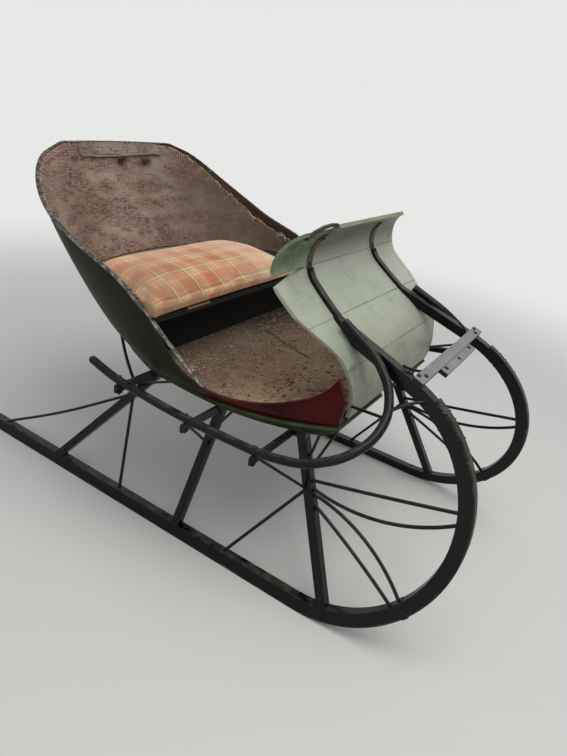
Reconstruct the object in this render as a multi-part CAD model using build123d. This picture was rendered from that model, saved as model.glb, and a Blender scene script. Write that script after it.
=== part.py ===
from build123d import *
from collections import namedtuple
from math import cos, radians, sin, sqrt, tan
import os

# One-horse cutter sleigh. Millimetres, +X ahead, +Y to the sleigh's left, +Z up.
# The origin lies on the ground under the middle of the length. Stations along the
# sleigh are given as a distance aft of the front of the runner curls.

# Driving sizes of the running gear
overall_length = 1890.0
track = 1000.0
inward_lean = 0.282
curl_radius = 411.0
curl_sweep = 160.8
tip_length = 300.0
tip_allowance = 70.0
runner_width = 30.0
runner_depth = 36.0
shoe_thickness = 7.0
shoe_width = 26.0
shoe_sweep = 150.0
knee_width = 30.0
knee_thickness = 26.0
beam_width = 42.0
beam_depth = 45.0
beam_half_length = 372.0
beam_edge_radius = 5.0
body_height = 545.0
rod_diameter = 11.0
light_rod_diameter = 9.0
rear_brace_setback = 48.0
rear_brace_bow = -17.0
fore_brace_station = 1170.0
aft_brace_station = 700.0

# Driving sizes of the side rails
rail_diameter = 26.0
rail_outset = 71.0
arm_thickness = 10.0
arm_depth = 26.0
arm_overhang = 17.0
arm_lap = 120.0
arm_stay_setback = 14.0

# Driving sizes of the body
wall = 11.0
floor_thickness = 14.0
bearer_thickness = 13.0
bearer_width = 60.0
bearer_offset = 190.0
bearer_rear_station = 1230.0
bearer_front_station = 560.0
corner_radius = 275.0
back_panel_half_width = 270.0
low_side_station = 827.0
seat_rise = 217.0
seat_thickness = 18.0
seat_front_station = 1012.0
seat_back_station = 1440.0
cleat_section = 24.0
cleat_rear_setback = 130.0
cleat_front_setback = 20.0
riser_setback = 95.0
riser_thickness = 15.0
cushion_depth = 305.0
cushion_thickness = 92.0
cushion_overhang = 12.0
cushion_clearance = 12.0
cushion_length = 800.0
cushion_shift = -125.0
cushion_edge_radius = 28.0
batten_height = 40.0
batten_thickness = 6.0
batten_half_length = 205.0
batten_front_setback = 60.0
fit_clearance = 0.3

# Driving sizes of the dash
dash_thickness = 11.0
dash_station = 432.0
dash_base_rise = 55.0
dash_base_heading = 76.0
dash_half_width = 412.0
dash_foot_half_width = 322.0
dash_waist_half_width = 355.0
dash_top_half_width = 318.0
dash_waist_rise = 30.0
dash_wide_rise = 20.0
dash_shoulder_inset = 28.0
dash_shoulder_rise = 68.0
dash_margin = 5.0
dash_bar_rise = 108.0
strap_top_drop = 13.0
strap_width = 26.0
strap_thickness = 4.0
dash_bar_width = 24.0
dash_bar_thickness = 11.0
dash_bar_below_bolt = 18.0
clamp_shift = 20.0
strap_shift = 28.0
lip_height = 28.0
lip_thickness = 12.0
lip_right_end = -172.0
lip_left_end = 318.0
split_depth = 172.0
split_opening = 32.0

# Driving sizes of the draw bar
draw_bar_width = 32.0
draw_bar_thickness = 18.0
draw_bar_rise = 9.0
draw_bar_ahead_of_curl_end = 6.0
draw_plate_length = 284.0
draw_plate_width = 26.0
draw_plate_drop = 4.0
draw_bar_lap = 10.0
pivot_diameter = 13.0
corner_iron_reach = 46.0
corner_iron_diameter = 8.0
corner_iron_bow = 0.3
corner_iron_lap = 4.0
corner_iron_run = 8.0

Bend = namedtuple("Bend", "radius sweep")
Knee = namedtuple("Knee", "name foot_station foot_height top_station")
Spot = namedtuple("Spot", "station height")
Foot = namedtuple("Foot", "knee drop setback")
Joint = namedtuple("Joint", "station offset rise")
Brace = namedtuple("Brace", "drop setback curl_angle bow")
Level = namedtuple("Level", "rise back_station back_half bulge side_station side_half front_half")
Arm = namedtuple("Arm", "knee rail_rise side stay_drop stay_setback")

# The fan of three knees on each runner
knees = [
    Knee("rear", 1504.0, 20.0, 1112.0),
    Knee("middle", 898.0, 20.0, 844.0),
    Knee("front", 309.0, 34.0, 548.0),
]

# Arms that carry the side rail, with the rail's rise above the sill and the foot of each arm's stay
arms = [
    Arm("rear", 4.0, 1.0, 100.0, 38.3),
    Arm("middle", -18.0, 1.0, 162.0, -4.2),
    Arm("front", -11.0, -1.0, 148.0, 5.9),
]

# Route of the side rail, with how far each point lies inside the straight part
rail_points = [
    Joint(1202.0, 0.0, 30.0),
    Joint(1109.0, 0.0, 4.0),
    Joint(847.0, 0.0, -18.0),
    Joint(550.0, 0.0, -11.0),
    Joint(427.0, 8.0, 12.0),
    Joint(340.0, 56.0, 52.0),
    Joint(299.0, 125.0, 95.0),
    Joint(295.0, 186.0, 143.0),
    Joint(327.0, 236.0, 199.0),
    Joint(397.0, 273.0, 255.0),
    Joint(520.0, 299.0, 311.0),
]

# Rods from the front knee to the curl, each by its drop under the beam, the angle where it meets
# the curl above level, and its bow
front_brace_table = [
    Brace(116.0, -10.5, 13.9, -2.0),
    Brace(133.0, -1.8, 10.0, -50.5),
    Brace(150.0, 2.9, -37.7, 46.5),
    Brace(167.0, 7.7, -41.6, 8.3),
]
rear_brace_foot = Foot("rear", 124.0, 4.7)
fore_brace_foot = Foot("rear", 102.0, 20.7)
aft_brace_foot = Foot("front", 138.0, 0.8)

# Stays from the knees up to the body
back_stay_foot = Foot("rear", 90.0, 29.5)
back_stay_ends = [Joint(1267.0, 368.0, -45.0), Joint(1372.0, 318.0, 95.0)]
rear_sill_foot = Foot("rear", 75.0, 16.8)
rear_sill_end = Joint(925.0, 408.0, 11.0)
middle_stay_foot = Foot("middle", 100.0, -3.3)
middle_stay_end = Joint(738.0, 402.0, 11.0)
front_stay_foot = Foot("front", 72.0, -3.1)
front_stay_end = Joint(486.0, 350.0, 11.0)
toe_stay_foot = Foot("front", 94.0, -5.8)
toe_stay_end = Joint(425.0, 300.0, 80.0)
curl_iron_ends = [Joint(300.0, 193.0, 155.0), Joint(262.0, 226.0, 183.0)]
curl_iron_angle = 61.6
toe_iron_start = Joint(296.0, 179.0, 139.0)
toe_iron_end = Joint(425.0, 326.0, 97.0)

# Horizontal outlines of the tub, from the sill up to the top of the back
tub_levels = [
    Level(0.0, 1238.0, 440.0, 18.0, 917.0, 449.0, 318.0),
    Level(155.0, 1422.0, 388.0, 80.0, 927.0, 544.0, 345.0),
    Level(355.0, 1564.0, 472.0, 74.0, 977.0, 530.0, 385.0),
    Level(615.0, 1647.0, 473.0, 95.0, 1017.0, 631.0, 420.0),
]

# Side view of the tub's rim, from its low point at the entry back to the top and forward to the dash
entry_station = 742.9
entry_rise = 62.5
entry_heading = 1.6
rim_rear_bends = [
    Bend(241.0, -49.9),
    Bend(680.0, 10.2),
    Bend(547.0, 24.2),
    Bend(1198.0, -15.0),
    Bend(739.0, -19.1),
]
rim_front_bends = [
    Bend(530.0, 24.8),
    Bend(138.0, 61.9),
]

# Side view of the dash, from the floor up
dash_bends = [
    Bend(197.0, 72.0),
    Bend(1600.0, -6.3),
    Bend(98.0, -104.7),
]
dash_seam_rises = [365.0, 250.0, 150.0]

# Side view of the toe board under the foot of the dash
toe_station = 529.0
toe_heading = 3.0
toe_bends = [Bend(139.0, 47.0)]

ahead = overall_length / 2
lean_stretch = sqrt(1 + inward_lean**2)
curl_station = curl_radius
rail_spread = track / 2 + rail_outset
beam_height = body_height - beam_depth
tub_front_station = 400.0
seat_height = body_height + seat_rise
dash_base_height = body_height + dash_base_rise
dash_seams = [dash_base_height + rise for rise in dash_seam_rises]
runner_middle = shoe_thickness + runner_depth / 2
floor_top = body_height + bearer_thickness + floor_thickness
lip_gap = 0.2
big = 4000.0


# Helpers for stations, planes and simple members

def at(station):
    return ahead - station


def gear_y(height, inset=0.0):
    return -track / 2 + inward_lean * height + inset


def gear_point(station, height):
    return (at(station), height * lean_stretch)


def gear_xyz(spot, inset=runner_width / 2):
    return Vector(at(spot.station), gear_y(spot.height, inset), spot.height)


def on_knee(foot):
    # Spot under the beam on a knee's middle line, moved aft by the setback.
    knee = next(knee for knee in knees if knee.name == foot.knee)
    slope = (knee.foot_station - knee.top_station) / (beam_height - knee.foot_height)
    station = knee.top_station + foot.drop * slope + foot.setback
    return gear_xyz(Spot(station, beam_height - foot.drop))


def on_curl(angle):
    # Spot on the curl's middle line, by its angle above level from the curl's centre.
    radius = curl_radius - runner_middle
    station = curl_station - radius * cos(radians(angle))
    height = (curl_radius + radius * sin(radians(angle))) / lean_stretch
    return gear_xyz(Spot(station, height))


def right_of(joint):
    # Point on the right side at the joint's offset from the middle.
    return Vector(at(joint.station), -joint.offset, body_height + joint.rise)


gear_plane = Plane(origin=(0, -track / 2, 0), x_dir=(1, 0, 0), z_dir=(0, -1, inward_lean))
side_plane = Plane(origin=(0, 0, 0), x_dir=(1, 0, 0), z_dir=(0, -1, 0))
front_plane = Plane(origin=(0, 0, 0), x_dir=(0, 1, 0), z_dir=(1, 0, 0))


def chain(start, heading, bends, shift=0.0):
    # Edges of a run of tangent arcs, moved sideways by shift to their left.
    here = Vector(*start)
    edges = []
    for bend in bends:
        tangent = Vector(cos(radians(heading)), sin(radians(heading)))
        left = Vector(-tangent.Y, tangent.X)
        first = here + left * shift
        if bend.radius is None:
            edges.append(Line(first, first + tangent * bend.sweep))
            here = here + tangent * bend.sweep
            continue
        turn = 1 if bend.sweep > 0 else -1
        centre = here + left * (bend.radius * turn)
        edges.append(JernArc(first, tangent, bend.radius - shift * turn, bend.sweep))
        heading += bend.sweep
        tangent = Vector(cos(radians(heading)), sin(radians(heading)))
        left = Vector(-tangent.Y, tangent.X)
        here = centre - left * (bend.radius * turn)
    return edges


def band(start, heading, bends, inner, outer):
    # Closed face between two parallel chains.
    low = chain(start, heading, bends, inner)
    high = chain(start, heading, bends, outer)
    ends = [Line(low[0] @ 0, high[0] @ 0), Line(low[-1] @ 1, high[-1] @ 1)]
    return make_face(low + high + ends)


def from_gear(face, width, inset=0.0):
    # Solid of a face drawn on the leaning side, thickened straight inward along Y.
    solid = extrude(gear_plane * face, amount=width, dir=(0, 1, 0))
    return Pos(0, inset, 0) * solid


def rod(points, diameter):
    # Round rod through the points, with an arc as large as its runs allow at each corner.
    points = [Vector(*p) for p in points]
    if len(points) == 2:
        path = Line(*points)
    else:
        radii = []
        for before, corner, after in zip(points, points[1:], points[2:]):
            turn = (corner - before).get_angle(after - corner)
            run = min((corner - before).length, (after - corner).length)
            radii.append(0.45 * run / tan(radians(turn / 2)))
        path = FilletPolyline(*points, radius=radii)
    section = Plane(origin=path @ 0, z_dir=path % 0) * Circle(diameter / 2)
    return sweep(section, path=path)


def trim(shape, *others):
    # The largest piece of a shape once its neighbours are cut from it.
    for other in others:
        shape = shape - other
    return shape.solids().sort_by(SortBy.VOLUME)[-1]


def inside_rail(joint):
    # Point on the right side at the joint's offset inside the straight part of the rail.
    return Vector(at(joint.station), joint.offset - rail_spread, body_height + joint.rise)


def slab(low, high):
    # Box between two opposite corners.
    size = [b - a for a, b in zip(low, high)]
    middle = [(a + b) / 2 for a, b in zip(low, high)]
    return Pos(*middle) * Box(*size)


def mirrored(shape):
    return mirror(shape, about=Plane.XZ)


nodes = {}


def add(name, *shapes):
    solids = [solid for shape in shapes for solid in shape.solids()]
    nodes[name] = solids[0] if len(solids) == 1 else Compound(solids)


def add_pair(name, *shapes):
    add(name + "_right", *shapes)
    add(name + "_left", *[mirrored(shape) for shape in shapes])


# Runners and their steel shoes
straight = overall_length - curl_station
runner_start = (at(overall_length), 0.0)
runner_bends = [Bend(None, straight), Bend(curl_radius, curl_sweep), Bend(None, tip_length)]
shoe_bends = [Bend(None, straight), Bend(curl_radius, shoe_sweep)]
runner_top = shoe_thickness + runner_depth
runner = from_gear(band(runner_start, 0.0, runner_bends, shoe_thickness, runner_top), runner_width)
shoe_inset = (runner_width - shoe_width) / 2
shoe = from_gear(band(runner_start, 0.0, shoe_bends, 0.0, shoe_thickness), shoe_width, shoe_inset)
add_pair("shoe", shoe)


# Cross beams, with their stations in line with the tops of the knees
beam_stations = {knee.name: knee.top_station for knee in knees}


def beam(station):
    half = beam_width / 2
    low = (at(station) - half, -beam_half_length, beam_height)
    high = (at(station) + half, beam_half_length, body_height)
    return fillet(slab(low, high).edges().filter_by(Axis.Y), beam_edge_radius)


for knee in knees:
    add("beam_" + knee.name, beam(knee.top_station))


# Knees, each a slanted post from the runner up to its beam
def knee_post(knee):
    foot = Vector(*gear_point(knee.foot_station, knee.foot_height))
    top = Vector(*gear_point(knee.top_station, beam_height))
    slope = (top - foot).normalized()
    half = Vector(knee_width / 2 / slope.Y, 0)
    corners = [foot - half, foot + half, top + half, top - half]
    post = from_gear(make_face(Polyline(*corners, close=True)), knee_thickness)
    post = Pos(0, (runner_width - knee_thickness) / 2, 0) * post
    return trim(post, runner, shoe)


knee_posts = {knee.name: knee_post(knee) for knee in knees}
for knee in knees:
    add_pair("knee_" + knee.name, knee_posts[knee.name])


# Body: a round-backed tub of bent panels
def tub_outline(level, inset):
    front = at(tub_front_station)
    side = at(level.side_station)
    back = at(level.back_station)
    edges = [
        ThreePointArc((front, level.front_half), (side, level.side_half), (back, level.back_half)),
        ThreePointArc((back, level.back_half), (back - level.bulge, 0), (back, -level.back_half)),
        ThreePointArc((back, -level.back_half), (side, -level.side_half), (front, -level.front_half)),
        Line((front, -level.front_half), (front, level.front_half)),
    ]
    face = make_face(edges)
    face = fillet(face.vertices().sort_by(Axis.X)[:2], corner_radius)
    if inset:
        face = offset(face, amount=-inset, kind=Kind.INTERSECTION)
    return Pos(0, 0, body_height + level.rise) * face


def tub_solid(inset=0.0):
    return loft([tub_outline(level, inset) for level in tub_levels])


dash_start = (at(dash_station), dash_base_height)
dash_edges = chain(dash_start, dash_base_heading, dash_bends)
dash_top = dash_edges[-1] @ 1
toe_start = (at(toe_station), body_height + dash_thickness / 2)


def ahead_of(start, heading, bends, shift):
    # Everything in front of and below a bent surface, as a prism across the body.
    edges = chain(start, heading, bends, shift)
    first = edges[0] @ 0
    last = edges[-1] @ 1
    route = [last, (big, last.Y), (big, -big), (first.X, -big), first]
    return extrude(side_plane * make_face(edges + [Polyline(*route)]), amount=big / 2, both=True)


entry_point = (at(entry_station), body_height + entry_rise)
rim_rear = chain(entry_point, entry_heading + 180, rim_rear_bends)
rim_front = chain(entry_point, entry_heading, rim_front_bends)
rim_top = rim_rear[-1] @ 1


def below_rim():
    # The side view under the rim line, as a prism across the body.
    last = rim_front[-1] @ 1
    route = [last, (big, last.Y), (big, 0), (-big, 0), (-big, rim_top.Y + wall), rim_top]
    outline = make_face(rim_rear + rim_front + [Polyline(*route)])
    return extrude(side_plane * outline, amount=big / 2, both=True)


tub_outer = tub_solid()
tub_inner = tub_solid(wall)
tub_fit = tub_solid(wall + fit_clearance)
half_dash = dash_thickness / 2
dash_cut = ahead_of(dash_start, dash_base_heading, dash_bends, half_dash + fit_clearance)
toe_cut = ahead_of(toe_start, toe_heading, toe_bends, half_dash + fit_clearance)
toe_underside = ahead_of(toe_start, toe_heading, toe_bends, -half_dash)
rim_prism = below_rim()
tub_shell = ((tub_outer - tub_inner) & rim_prism) - dash_cut - toe_underside

back_zone = slab((-big, -back_panel_half_width, 0), (at(seat_back_station), back_panel_half_width, big))
low_zone = slab((at(low_side_station), -big, 0), (big, 0, big))
side_zone = slab((-big, -big, 0), (at(low_side_station), 0, big)) - back_zone
back_panel = trim(tub_shell & back_zone)
side_panel = trim(tub_shell & side_zone)
low_side = trim(tub_shell & low_zone)
add("back_panel", back_panel)
add_pair("side_panel", side_panel)
add_pair("low_side", low_side)

# Floor, and the two long bearers that lift it off the beams
floor_low = (-big, -big, floor_top - floor_thickness)
floor_high = (big, big, floor_top)
add("floor", trim(slab(floor_low, floor_high) & tub_fit, dash_cut, toe_cut))
toe_face = band(toe_start, toe_heading, toe_bends, -half_dash, half_dash)
toe_board = extrude(side_plane * toe_face, amount=big / 2, both=True) & tub_fit
add("toe_board", trim(toe_board, dash_cut))
bearers = []
for side in (-1, 1):
    middle = side * bearer_offset
    low = (at(bearer_rear_station), middle - bearer_width / 2, body_height)
    high = (at(bearer_front_station), middle + bearer_width / 2, body_height + bearer_thickness)
    bearers.append(slab(low, high))
add("floor_bearers", *bearers)

# Seat: a board on cleats, with a riser set back under its front edge
seat_low = (-big, -big, seat_height - seat_thickness)
seat_high = (at(seat_front_station), big, seat_height)
add("seat_board", trim(slab(seat_low, seat_high) & tub_fit))
cleat_top = seat_height - seat_thickness
cleat_low = (at(seat_back_station - cleat_rear_setback), -big, cleat_top - cleat_section)
cleat_high = (at(seat_front_station + cleat_front_setback), 0, cleat_top)
cleat_ring = tub_fit - tub_solid(wall + cleat_section)
seat_cleat = trim(slab(cleat_low, cleat_high) & cleat_ring)
add("seat_cleats", seat_cleat, mirrored(seat_cleat))
riser_x = at(seat_front_station + riser_setback)
riser_low = (riser_x - riser_thickness, -big, floor_top)
riser_high = (riser_x, big, cleat_top)
add("seat_riser", trim(slab(riser_low, riser_high) & tub_fit, seat_cleat, mirrored(seat_cleat)))

# Tack batten inside the top of the back
batten_low = (-big, -batten_half_length, rim_top.Y - batten_height)
batten_high = (rim_top.X + batten_front_setback, batten_half_length, rim_top.Y)
batten_ring = tub_inner - tub_solid(wall + batten_thickness)
add("back_batten", trim(slab(batten_low, batten_high) & batten_ring & rim_prism))

# Loose seat cushion, kept as one plain block with rounded edges
cushion_layer = slab((-big, -big, seat_height - fit_clearance), (big, big, seat_height))
cushion_plan = tub_solid(wall + cushion_clearance) & cushion_layer
cushion_face = cushion_plan.faces().sort_by(Axis.Z)[-1]
cushion_prism = Pos(0, 0, fit_clearance) * extrude(cushion_face, amount=cushion_thickness, dir=(0, 0, 1))
cushion_low = (at(seat_front_station + cushion_depth), cushion_shift - cushion_length / 2, 0)
cushion_high = (at(seat_front_station - cushion_overhang), cushion_shift + cushion_length / 2, big)
cushion = trim(cushion_prism & slab(cushion_low, cushion_high))
cushion_edges = cushion.edges().filter_by(Axis.Y).group_by(Axis.Z)
cushion = fillet(cushion_edges[0] + cushion_edges[-1], cushion_edge_radius)
add("cushion", cushion)


# Dash: an S-shaped front of four boards between shaped ends
def dash_band(rear, front, low, high):
    # Part of a layer along the dash, from its rear shift to its front shift.
    face = band(dash_start, dash_base_heading, dash_bends, -front, -rear)
    layer = extrude(side_plane * face, amount=big / 2, both=True)
    return layer & slab((-big, -big, low), (big, big, high))


def dash_mask():
    # Front view of the dash, with a foot, a waist, a wide middle and a rounded top.
    foot = (dash_foot_half_width, dash_base_height - dash_margin)
    waist = (dash_waist_half_width, dash_seams[2] + dash_waist_rise)
    wide = (dash_half_width, dash_seams[1] + dash_wide_rise)
    upper = (dash_half_width, dash_seams[0])
    top = (dash_top_half_width, dash_top.Y + dash_margin)
    shoulder = (dash_half_width - dash_shoulder_inset, dash_seams[0] + dash_shoulder_rise)
    half = [
        Line(foot, waist),
        Line(waist, wide),
        Line(wide, upper),
        ThreePointArc(upper, shoulder, top),
    ]
    other = [edge.mirror(Plane.YZ) for edge in half]
    ends = [Line(foot, (-foot[0], foot[1])), Line(top, (-top[0], top[1]))]
    return extrude(front_plane * make_face(half + other + ends), amount=big / 2, both=True)


mask = dash_mask()
split_points = [
    (-dash_half_width + split_depth, dash_seams[0]),
    (-dash_half_width - dash_margin, dash_seams[0]),
    (-dash_half_width - dash_margin, dash_seams[0] - split_opening),
]
split_face = front_plane * make_face(Polyline(*split_points, close=True))
split_wedge = extrude(split_face, amount=big / 2, both=True)
board_edges = [big] + dash_seams + [0.0]
board_names = ["top", "upper", "lower", "bottom"]
for name, high, low in zip(board_names, board_edges, board_edges[1:]):
    board = dash_band(-half_dash, half_dash, low, high) & mask
    add("dash_board_" + name, trim(board, split_wedge))

# Broken cap strip along the top of the dash
dash_top_heading = dash_base_heading + sum(bend.sweep for bend in dash_bends)
lip_place = Pos(dash_top.X, dash_top.Y) * Rot(0, 0, dash_top_heading - 90)
lip_face = lip_place * Pos(0, lip_height / 2 + lip_gap)
lip_face = lip_face * Rectangle(lip_thickness, lip_height)
lip = extrude(side_plane * lip_face, amount=lip_left_end - lip_right_end)
lip_shift = lip_left_end - lip.bounding_box().max.Y
add("dash_lip", Pos(0, lip_shift, 0) * lip)


# Irons on the dash: rusty straps above, half-round bars from the clamp to the runner tips
def slanted_mask(low, high, low_y, high_y, width):
    half = width / 2
    corners = [(low_y - half, low), (low_y + half, low), (high_y + half, high), (high_y - half, high)]
    return extrude(front_plane * make_face(Polyline(*corners, close=True)), amount=big / 2, both=True)


behind_dash = dash_band(-tip_allowance, half_dash, dash_seams[-1], big)
runner = trim(runner, behind_dash)
add_pair("runner", runner)
tip_end = chain(runner_start, 0.0, runner_bends)[-1] @ 1
tip_spot = gear_xyz(Spot(ahead - tip_end.X, tip_end.Y / lean_stretch))
tip_corners = runner.vertices().sort_by_distance(tip_spot)[:4]
dash_bolt_height = sum(corner.Z for corner in tip_corners) / 4
print("runner tips meet the dash at", round(dash_bolt_height, 2))
clamp_height = dash_bolt_height + dash_bar_rise
strap_top_height = dash_top.Y - strap_top_drop
bolt_y = gear_y(dash_bolt_height, runner_width / 2)
clamp_y = bolt_y + clamp_shift
strap_y = clamp_y + strap_shift
strap_band = dash_band(half_dash, half_dash + strap_thickness, clamp_height, strap_top_height)
strap = strap_band & slanted_mask(clamp_height, strap_top_height, clamp_y, strap_y, strap_width)
bar_low = dash_bolt_height - dash_bar_below_bolt
bar_band = dash_band(half_dash, half_dash + dash_bar_thickness, bar_low, clamp_height)
dash_bar = bar_band & slanted_mask(bar_low, clamp_height, bolt_y, clamp_y, dash_bar_width)
add_pair("dash_strap", trim(strap))
add_pair("dash_bar", trim(dash_bar, runner))

# Side rails, round wooden bars that rise at the front to the runner tips
rail_route = [inside_rail(point) for point in rail_points]
rail = rod(rail_route, rail_diameter)
rail = rail + Pos(rail_route[0]) * Sphere(rail_diameter / 2)
rail = trim(rail, runner, dash_bar, behind_dash)
add_pair("side_rail", rail)


# Iron arms from the beams out to the rails, each with a stay back to its knee
def beam_arm(arm):
    station = beam_stations[arm.knee]
    face_x = at(station) + arm.side * (beam_width / 2 + arm_thickness / 2)
    top = body_height + arm.rail_rise - rail_diameter / 2
    low = (face_x - arm_thickness / 2, -rail_spread - arm_overhang, top - arm_depth)
    high = (face_x + arm_thickness / 2, -beam_half_length + arm_lap, top)
    return trim(slab(low, high), rail, *knee_posts.values())


arm_irons = [beam_arm(arm) for arm in arms]
add_pair("rail_arms", *arm_irons)

arm_stays = []
for arm in arms:
    face_x = at(beam_stations[arm.knee]) + arm.side * (beam_width / 2 + arm_thickness / 2)
    arm_height = body_height + arm.rail_rise - rail_diameter / 2 - arm_depth / 2
    top = (face_x, -rail_spread + arm_stay_setback, arm_height)
    foot = on_knee(Foot(arm.knee, arm.stay_drop, arm.stay_setback))
    stay = rod([foot, top], light_rod_diameter)
    arm_stays.append(trim(stay, knee_posts[arm.knee], *arm_irons))
add_pair("arm_stays", *arm_stays)


# Iron rods in the plane of the runner
def bowed_rod(first, last, bow):
    middle = (first + last) / 2 + Vector(0, inward_lean * bow, bow)
    path = ThreePointArc(first, middle, last)
    section = Plane(origin=path @ 0, z_dir=path % 0) * Circle(rod_diameter / 2)
    return sweep(section, path=path)


rear_knee = knee_posts["rear"]
front_knee = knee_posts["front"]
rear_foot = on_knee(rear_brace_foot)
rear_end = gear_xyz(Spot(overall_length - rear_brace_setback, runner_middle))
rear_middle = (rear_foot + rear_end) / 2 + Vector(0, inward_lean * rear_brace_bow, rear_brace_bow)
rear_brace = rod([rear_end, rear_middle, rear_foot], rod_diameter)
fore_end = gear_xyz(Spot(fore_brace_station, runner_middle))
fore_brace = rod([on_knee(fore_brace_foot), fore_end], rod_diameter)
add_pair("rear_braces", trim(rear_brace, runner, rear_knee), trim(fore_brace, runner, rear_knee))

front_braces = []
for brace in front_brace_table:
    foot = on_knee(Foot("front", brace.drop, brace.setback))
    front_braces.append(trim(bowed_rod(foot, on_curl(brace.curl_angle), brace.bow), runner, front_knee))
aft_brace = rod([on_knee(aft_brace_foot), gear_xyz(Spot(aft_brace_station, runner_middle))], rod_diameter)
front_braces.append(trim(aft_brace, runner, front_knee))
add_pair("front_braces", *front_braces)

# Stays from the knees up to the body
back_stay = rod([on_knee(back_stay_foot)] + [right_of(end) for end in back_stay_ends], rod_diameter)
rear_sill_stay = rod([on_knee(rear_sill_foot), right_of(rear_sill_end)], light_rod_diameter)
middle_stay = rod([on_knee(middle_stay_foot), right_of(middle_stay_end)], light_rod_diameter)
front_stay = rod([on_knee(front_stay_foot), right_of(front_stay_end)], light_rod_diameter)
toe_stay = rod([on_knee(toe_stay_foot), right_of(toe_stay_end)], light_rod_diameter)
body_parts = [side_panel, low_side, nodes["floor"], nodes["toe_board"], nodes["dash_board_bottom"]]
add_pair(
    "body_stays",
    trim(back_stay, rear_knee, tub_outer),
    trim(rear_sill_stay, rear_knee, nodes["beam_rear"], *body_parts),
    trim(middle_stay, knee_posts["middle"], *body_parts),
    trim(front_stay, front_knee, nodes["beam_front"], *body_parts),
    trim(toe_stay, front_knee, nodes["beam_front"], *body_parts),
)

# Short irons at the bend of each rail: one to the runner curl, one to the foot of the dash
curl_iron_points = [inside_rail(end) for end in curl_iron_ends] + [on_curl(curl_iron_angle)]
curl_iron = rod(curl_iron_points, light_rod_diameter)
toe_iron = rod([inside_rail(toe_iron_start), right_of(toe_iron_end)], light_rod_diameter)
add_pair("curl_iron", trim(curl_iron, rail, runner))
add_pair("toe_iron", trim(toe_iron, rail, nodes["dash_board_bottom"]))

# Draw bar between the curls, with the plate at its middle that takes the swinging bar's pin
curl_end = chain(runner_start, 0.0, runner_bends[:2])[-1] @ 1
tip_direction = Vector(cos(radians(curl_sweep)), sin(radians(curl_sweep)))
draw_seat = curl_end - tip_direction * draw_bar_ahead_of_curl_end
draw_height = draw_seat.Y / lean_stretch
draw_place = Pos(draw_seat.X, 0, draw_height) * Rot(0, 180 - curl_sweep, 0) * Pos(0, 0, draw_bar_rise)
draw_half = -gear_y(draw_height) + draw_bar_lap
draw_low = (-draw_bar_width / 2, -draw_half, -draw_bar_thickness)
draw_bar = draw_place * slab(draw_low, (draw_bar_width / 2, draw_half, 0))
draw_bar = trim(draw_bar, runner, mirrored(runner))
add("draw_bar", draw_bar)
plate_low = (draw_bar_width / 2, -draw_plate_length / 2, -draw_bar_thickness)
plate_high = (draw_bar_width / 2 + draw_plate_width, draw_plate_length / 2, -draw_plate_drop)
pivot_place = Pos(draw_bar_width / 2 + draw_plate_width / 2, 0, -draw_bar_thickness / 2)
pivot_hole = pivot_place * Cylinder(pivot_diameter / 2, 2 * draw_bar_thickness)
add("draw_plate", draw_place * (slab(plate_low, plate_high) - pivot_hole))


def corner_iron():
    # Curved iron in the corner behind the bar, from the bar to the runner's inner face.
    corner = -gear_y(draw_height, runner_width)
    lower = corner - corner_iron_reach
    back = -draw_bar_width / 2
    height = -draw_bar_thickness / 2
    bend = corner_iron_reach * corner_iron_bow
    path = ThreePointArc(
        (back + corner_iron_lap, -lower, height),
        (back - bend, -corner + bend, height),
        (back - corner_iron_reach, -corner - corner_iron_run, height),
    )
    section = Plane(origin=path @ 0, z_dir=path % 0) * Circle(corner_iron_diameter / 2)
    return trim(draw_place * sweep(section, path=path), runner, draw_bar)


iron = corner_iron()
add("corner_irons", iron, mirrored(iron))

os.makedirs("parts", exist_ok=True)
for name, shape in nodes.items():
    shape.label = name
    export_step(shape, os.path.join("parts", name + ".step"))
    print(name, len(shape.solids()), round(shape.volume))
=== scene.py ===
import math
import random

import bpy
from mathutils import Matrix, Vector, noise
from mathutils.bvhtree import BVHTree


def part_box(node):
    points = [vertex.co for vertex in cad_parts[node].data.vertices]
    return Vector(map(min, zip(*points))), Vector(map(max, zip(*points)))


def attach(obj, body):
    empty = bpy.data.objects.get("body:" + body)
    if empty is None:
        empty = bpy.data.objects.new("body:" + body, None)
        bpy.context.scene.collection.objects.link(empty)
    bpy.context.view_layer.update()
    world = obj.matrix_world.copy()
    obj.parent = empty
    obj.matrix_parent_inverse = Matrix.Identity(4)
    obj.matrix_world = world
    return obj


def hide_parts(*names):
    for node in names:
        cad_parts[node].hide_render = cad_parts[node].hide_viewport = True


# One-horse cutter sleigh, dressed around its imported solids. Metres, +X ahead, +Y to the sleigh's left.
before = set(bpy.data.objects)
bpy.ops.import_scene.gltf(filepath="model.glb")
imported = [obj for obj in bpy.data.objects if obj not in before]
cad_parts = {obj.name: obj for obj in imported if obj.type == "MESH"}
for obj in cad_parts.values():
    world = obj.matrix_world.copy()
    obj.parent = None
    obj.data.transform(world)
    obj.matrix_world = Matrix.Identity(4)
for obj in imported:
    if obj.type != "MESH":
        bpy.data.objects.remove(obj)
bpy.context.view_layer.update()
mm = 0.001
print("frame loaded")


cameraPlace = {"location": (1.0448, -1.7211, 1.4121), "yaw": 118.45, "pitch": 25.89, "roll": 9.38,
               "focal": 586.0, "longSide": 756.0, "sensor": 36.0, "clipStart": 0.05}
studio = {"floorRadius": 40.0, "floorSides": 96, "floorRough": 0.9, "floorColour": "#d8d6d1",
          "backColour": "#e8e8e6", "worldColour": "#e9edf2", "worldStrength": 0.56, "fadeStart": 1.9, "fadeEnd": 4.4}
lamps = {"aim": (0, 0, 0.5), "key": {"place": (1.5, -0.5, 4.6), "size": 3.4, "power": 112.0},
         "fill": {"place": (2.6, -3.6, 2.2), "size": 3.0, "power": 15.0}}


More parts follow.
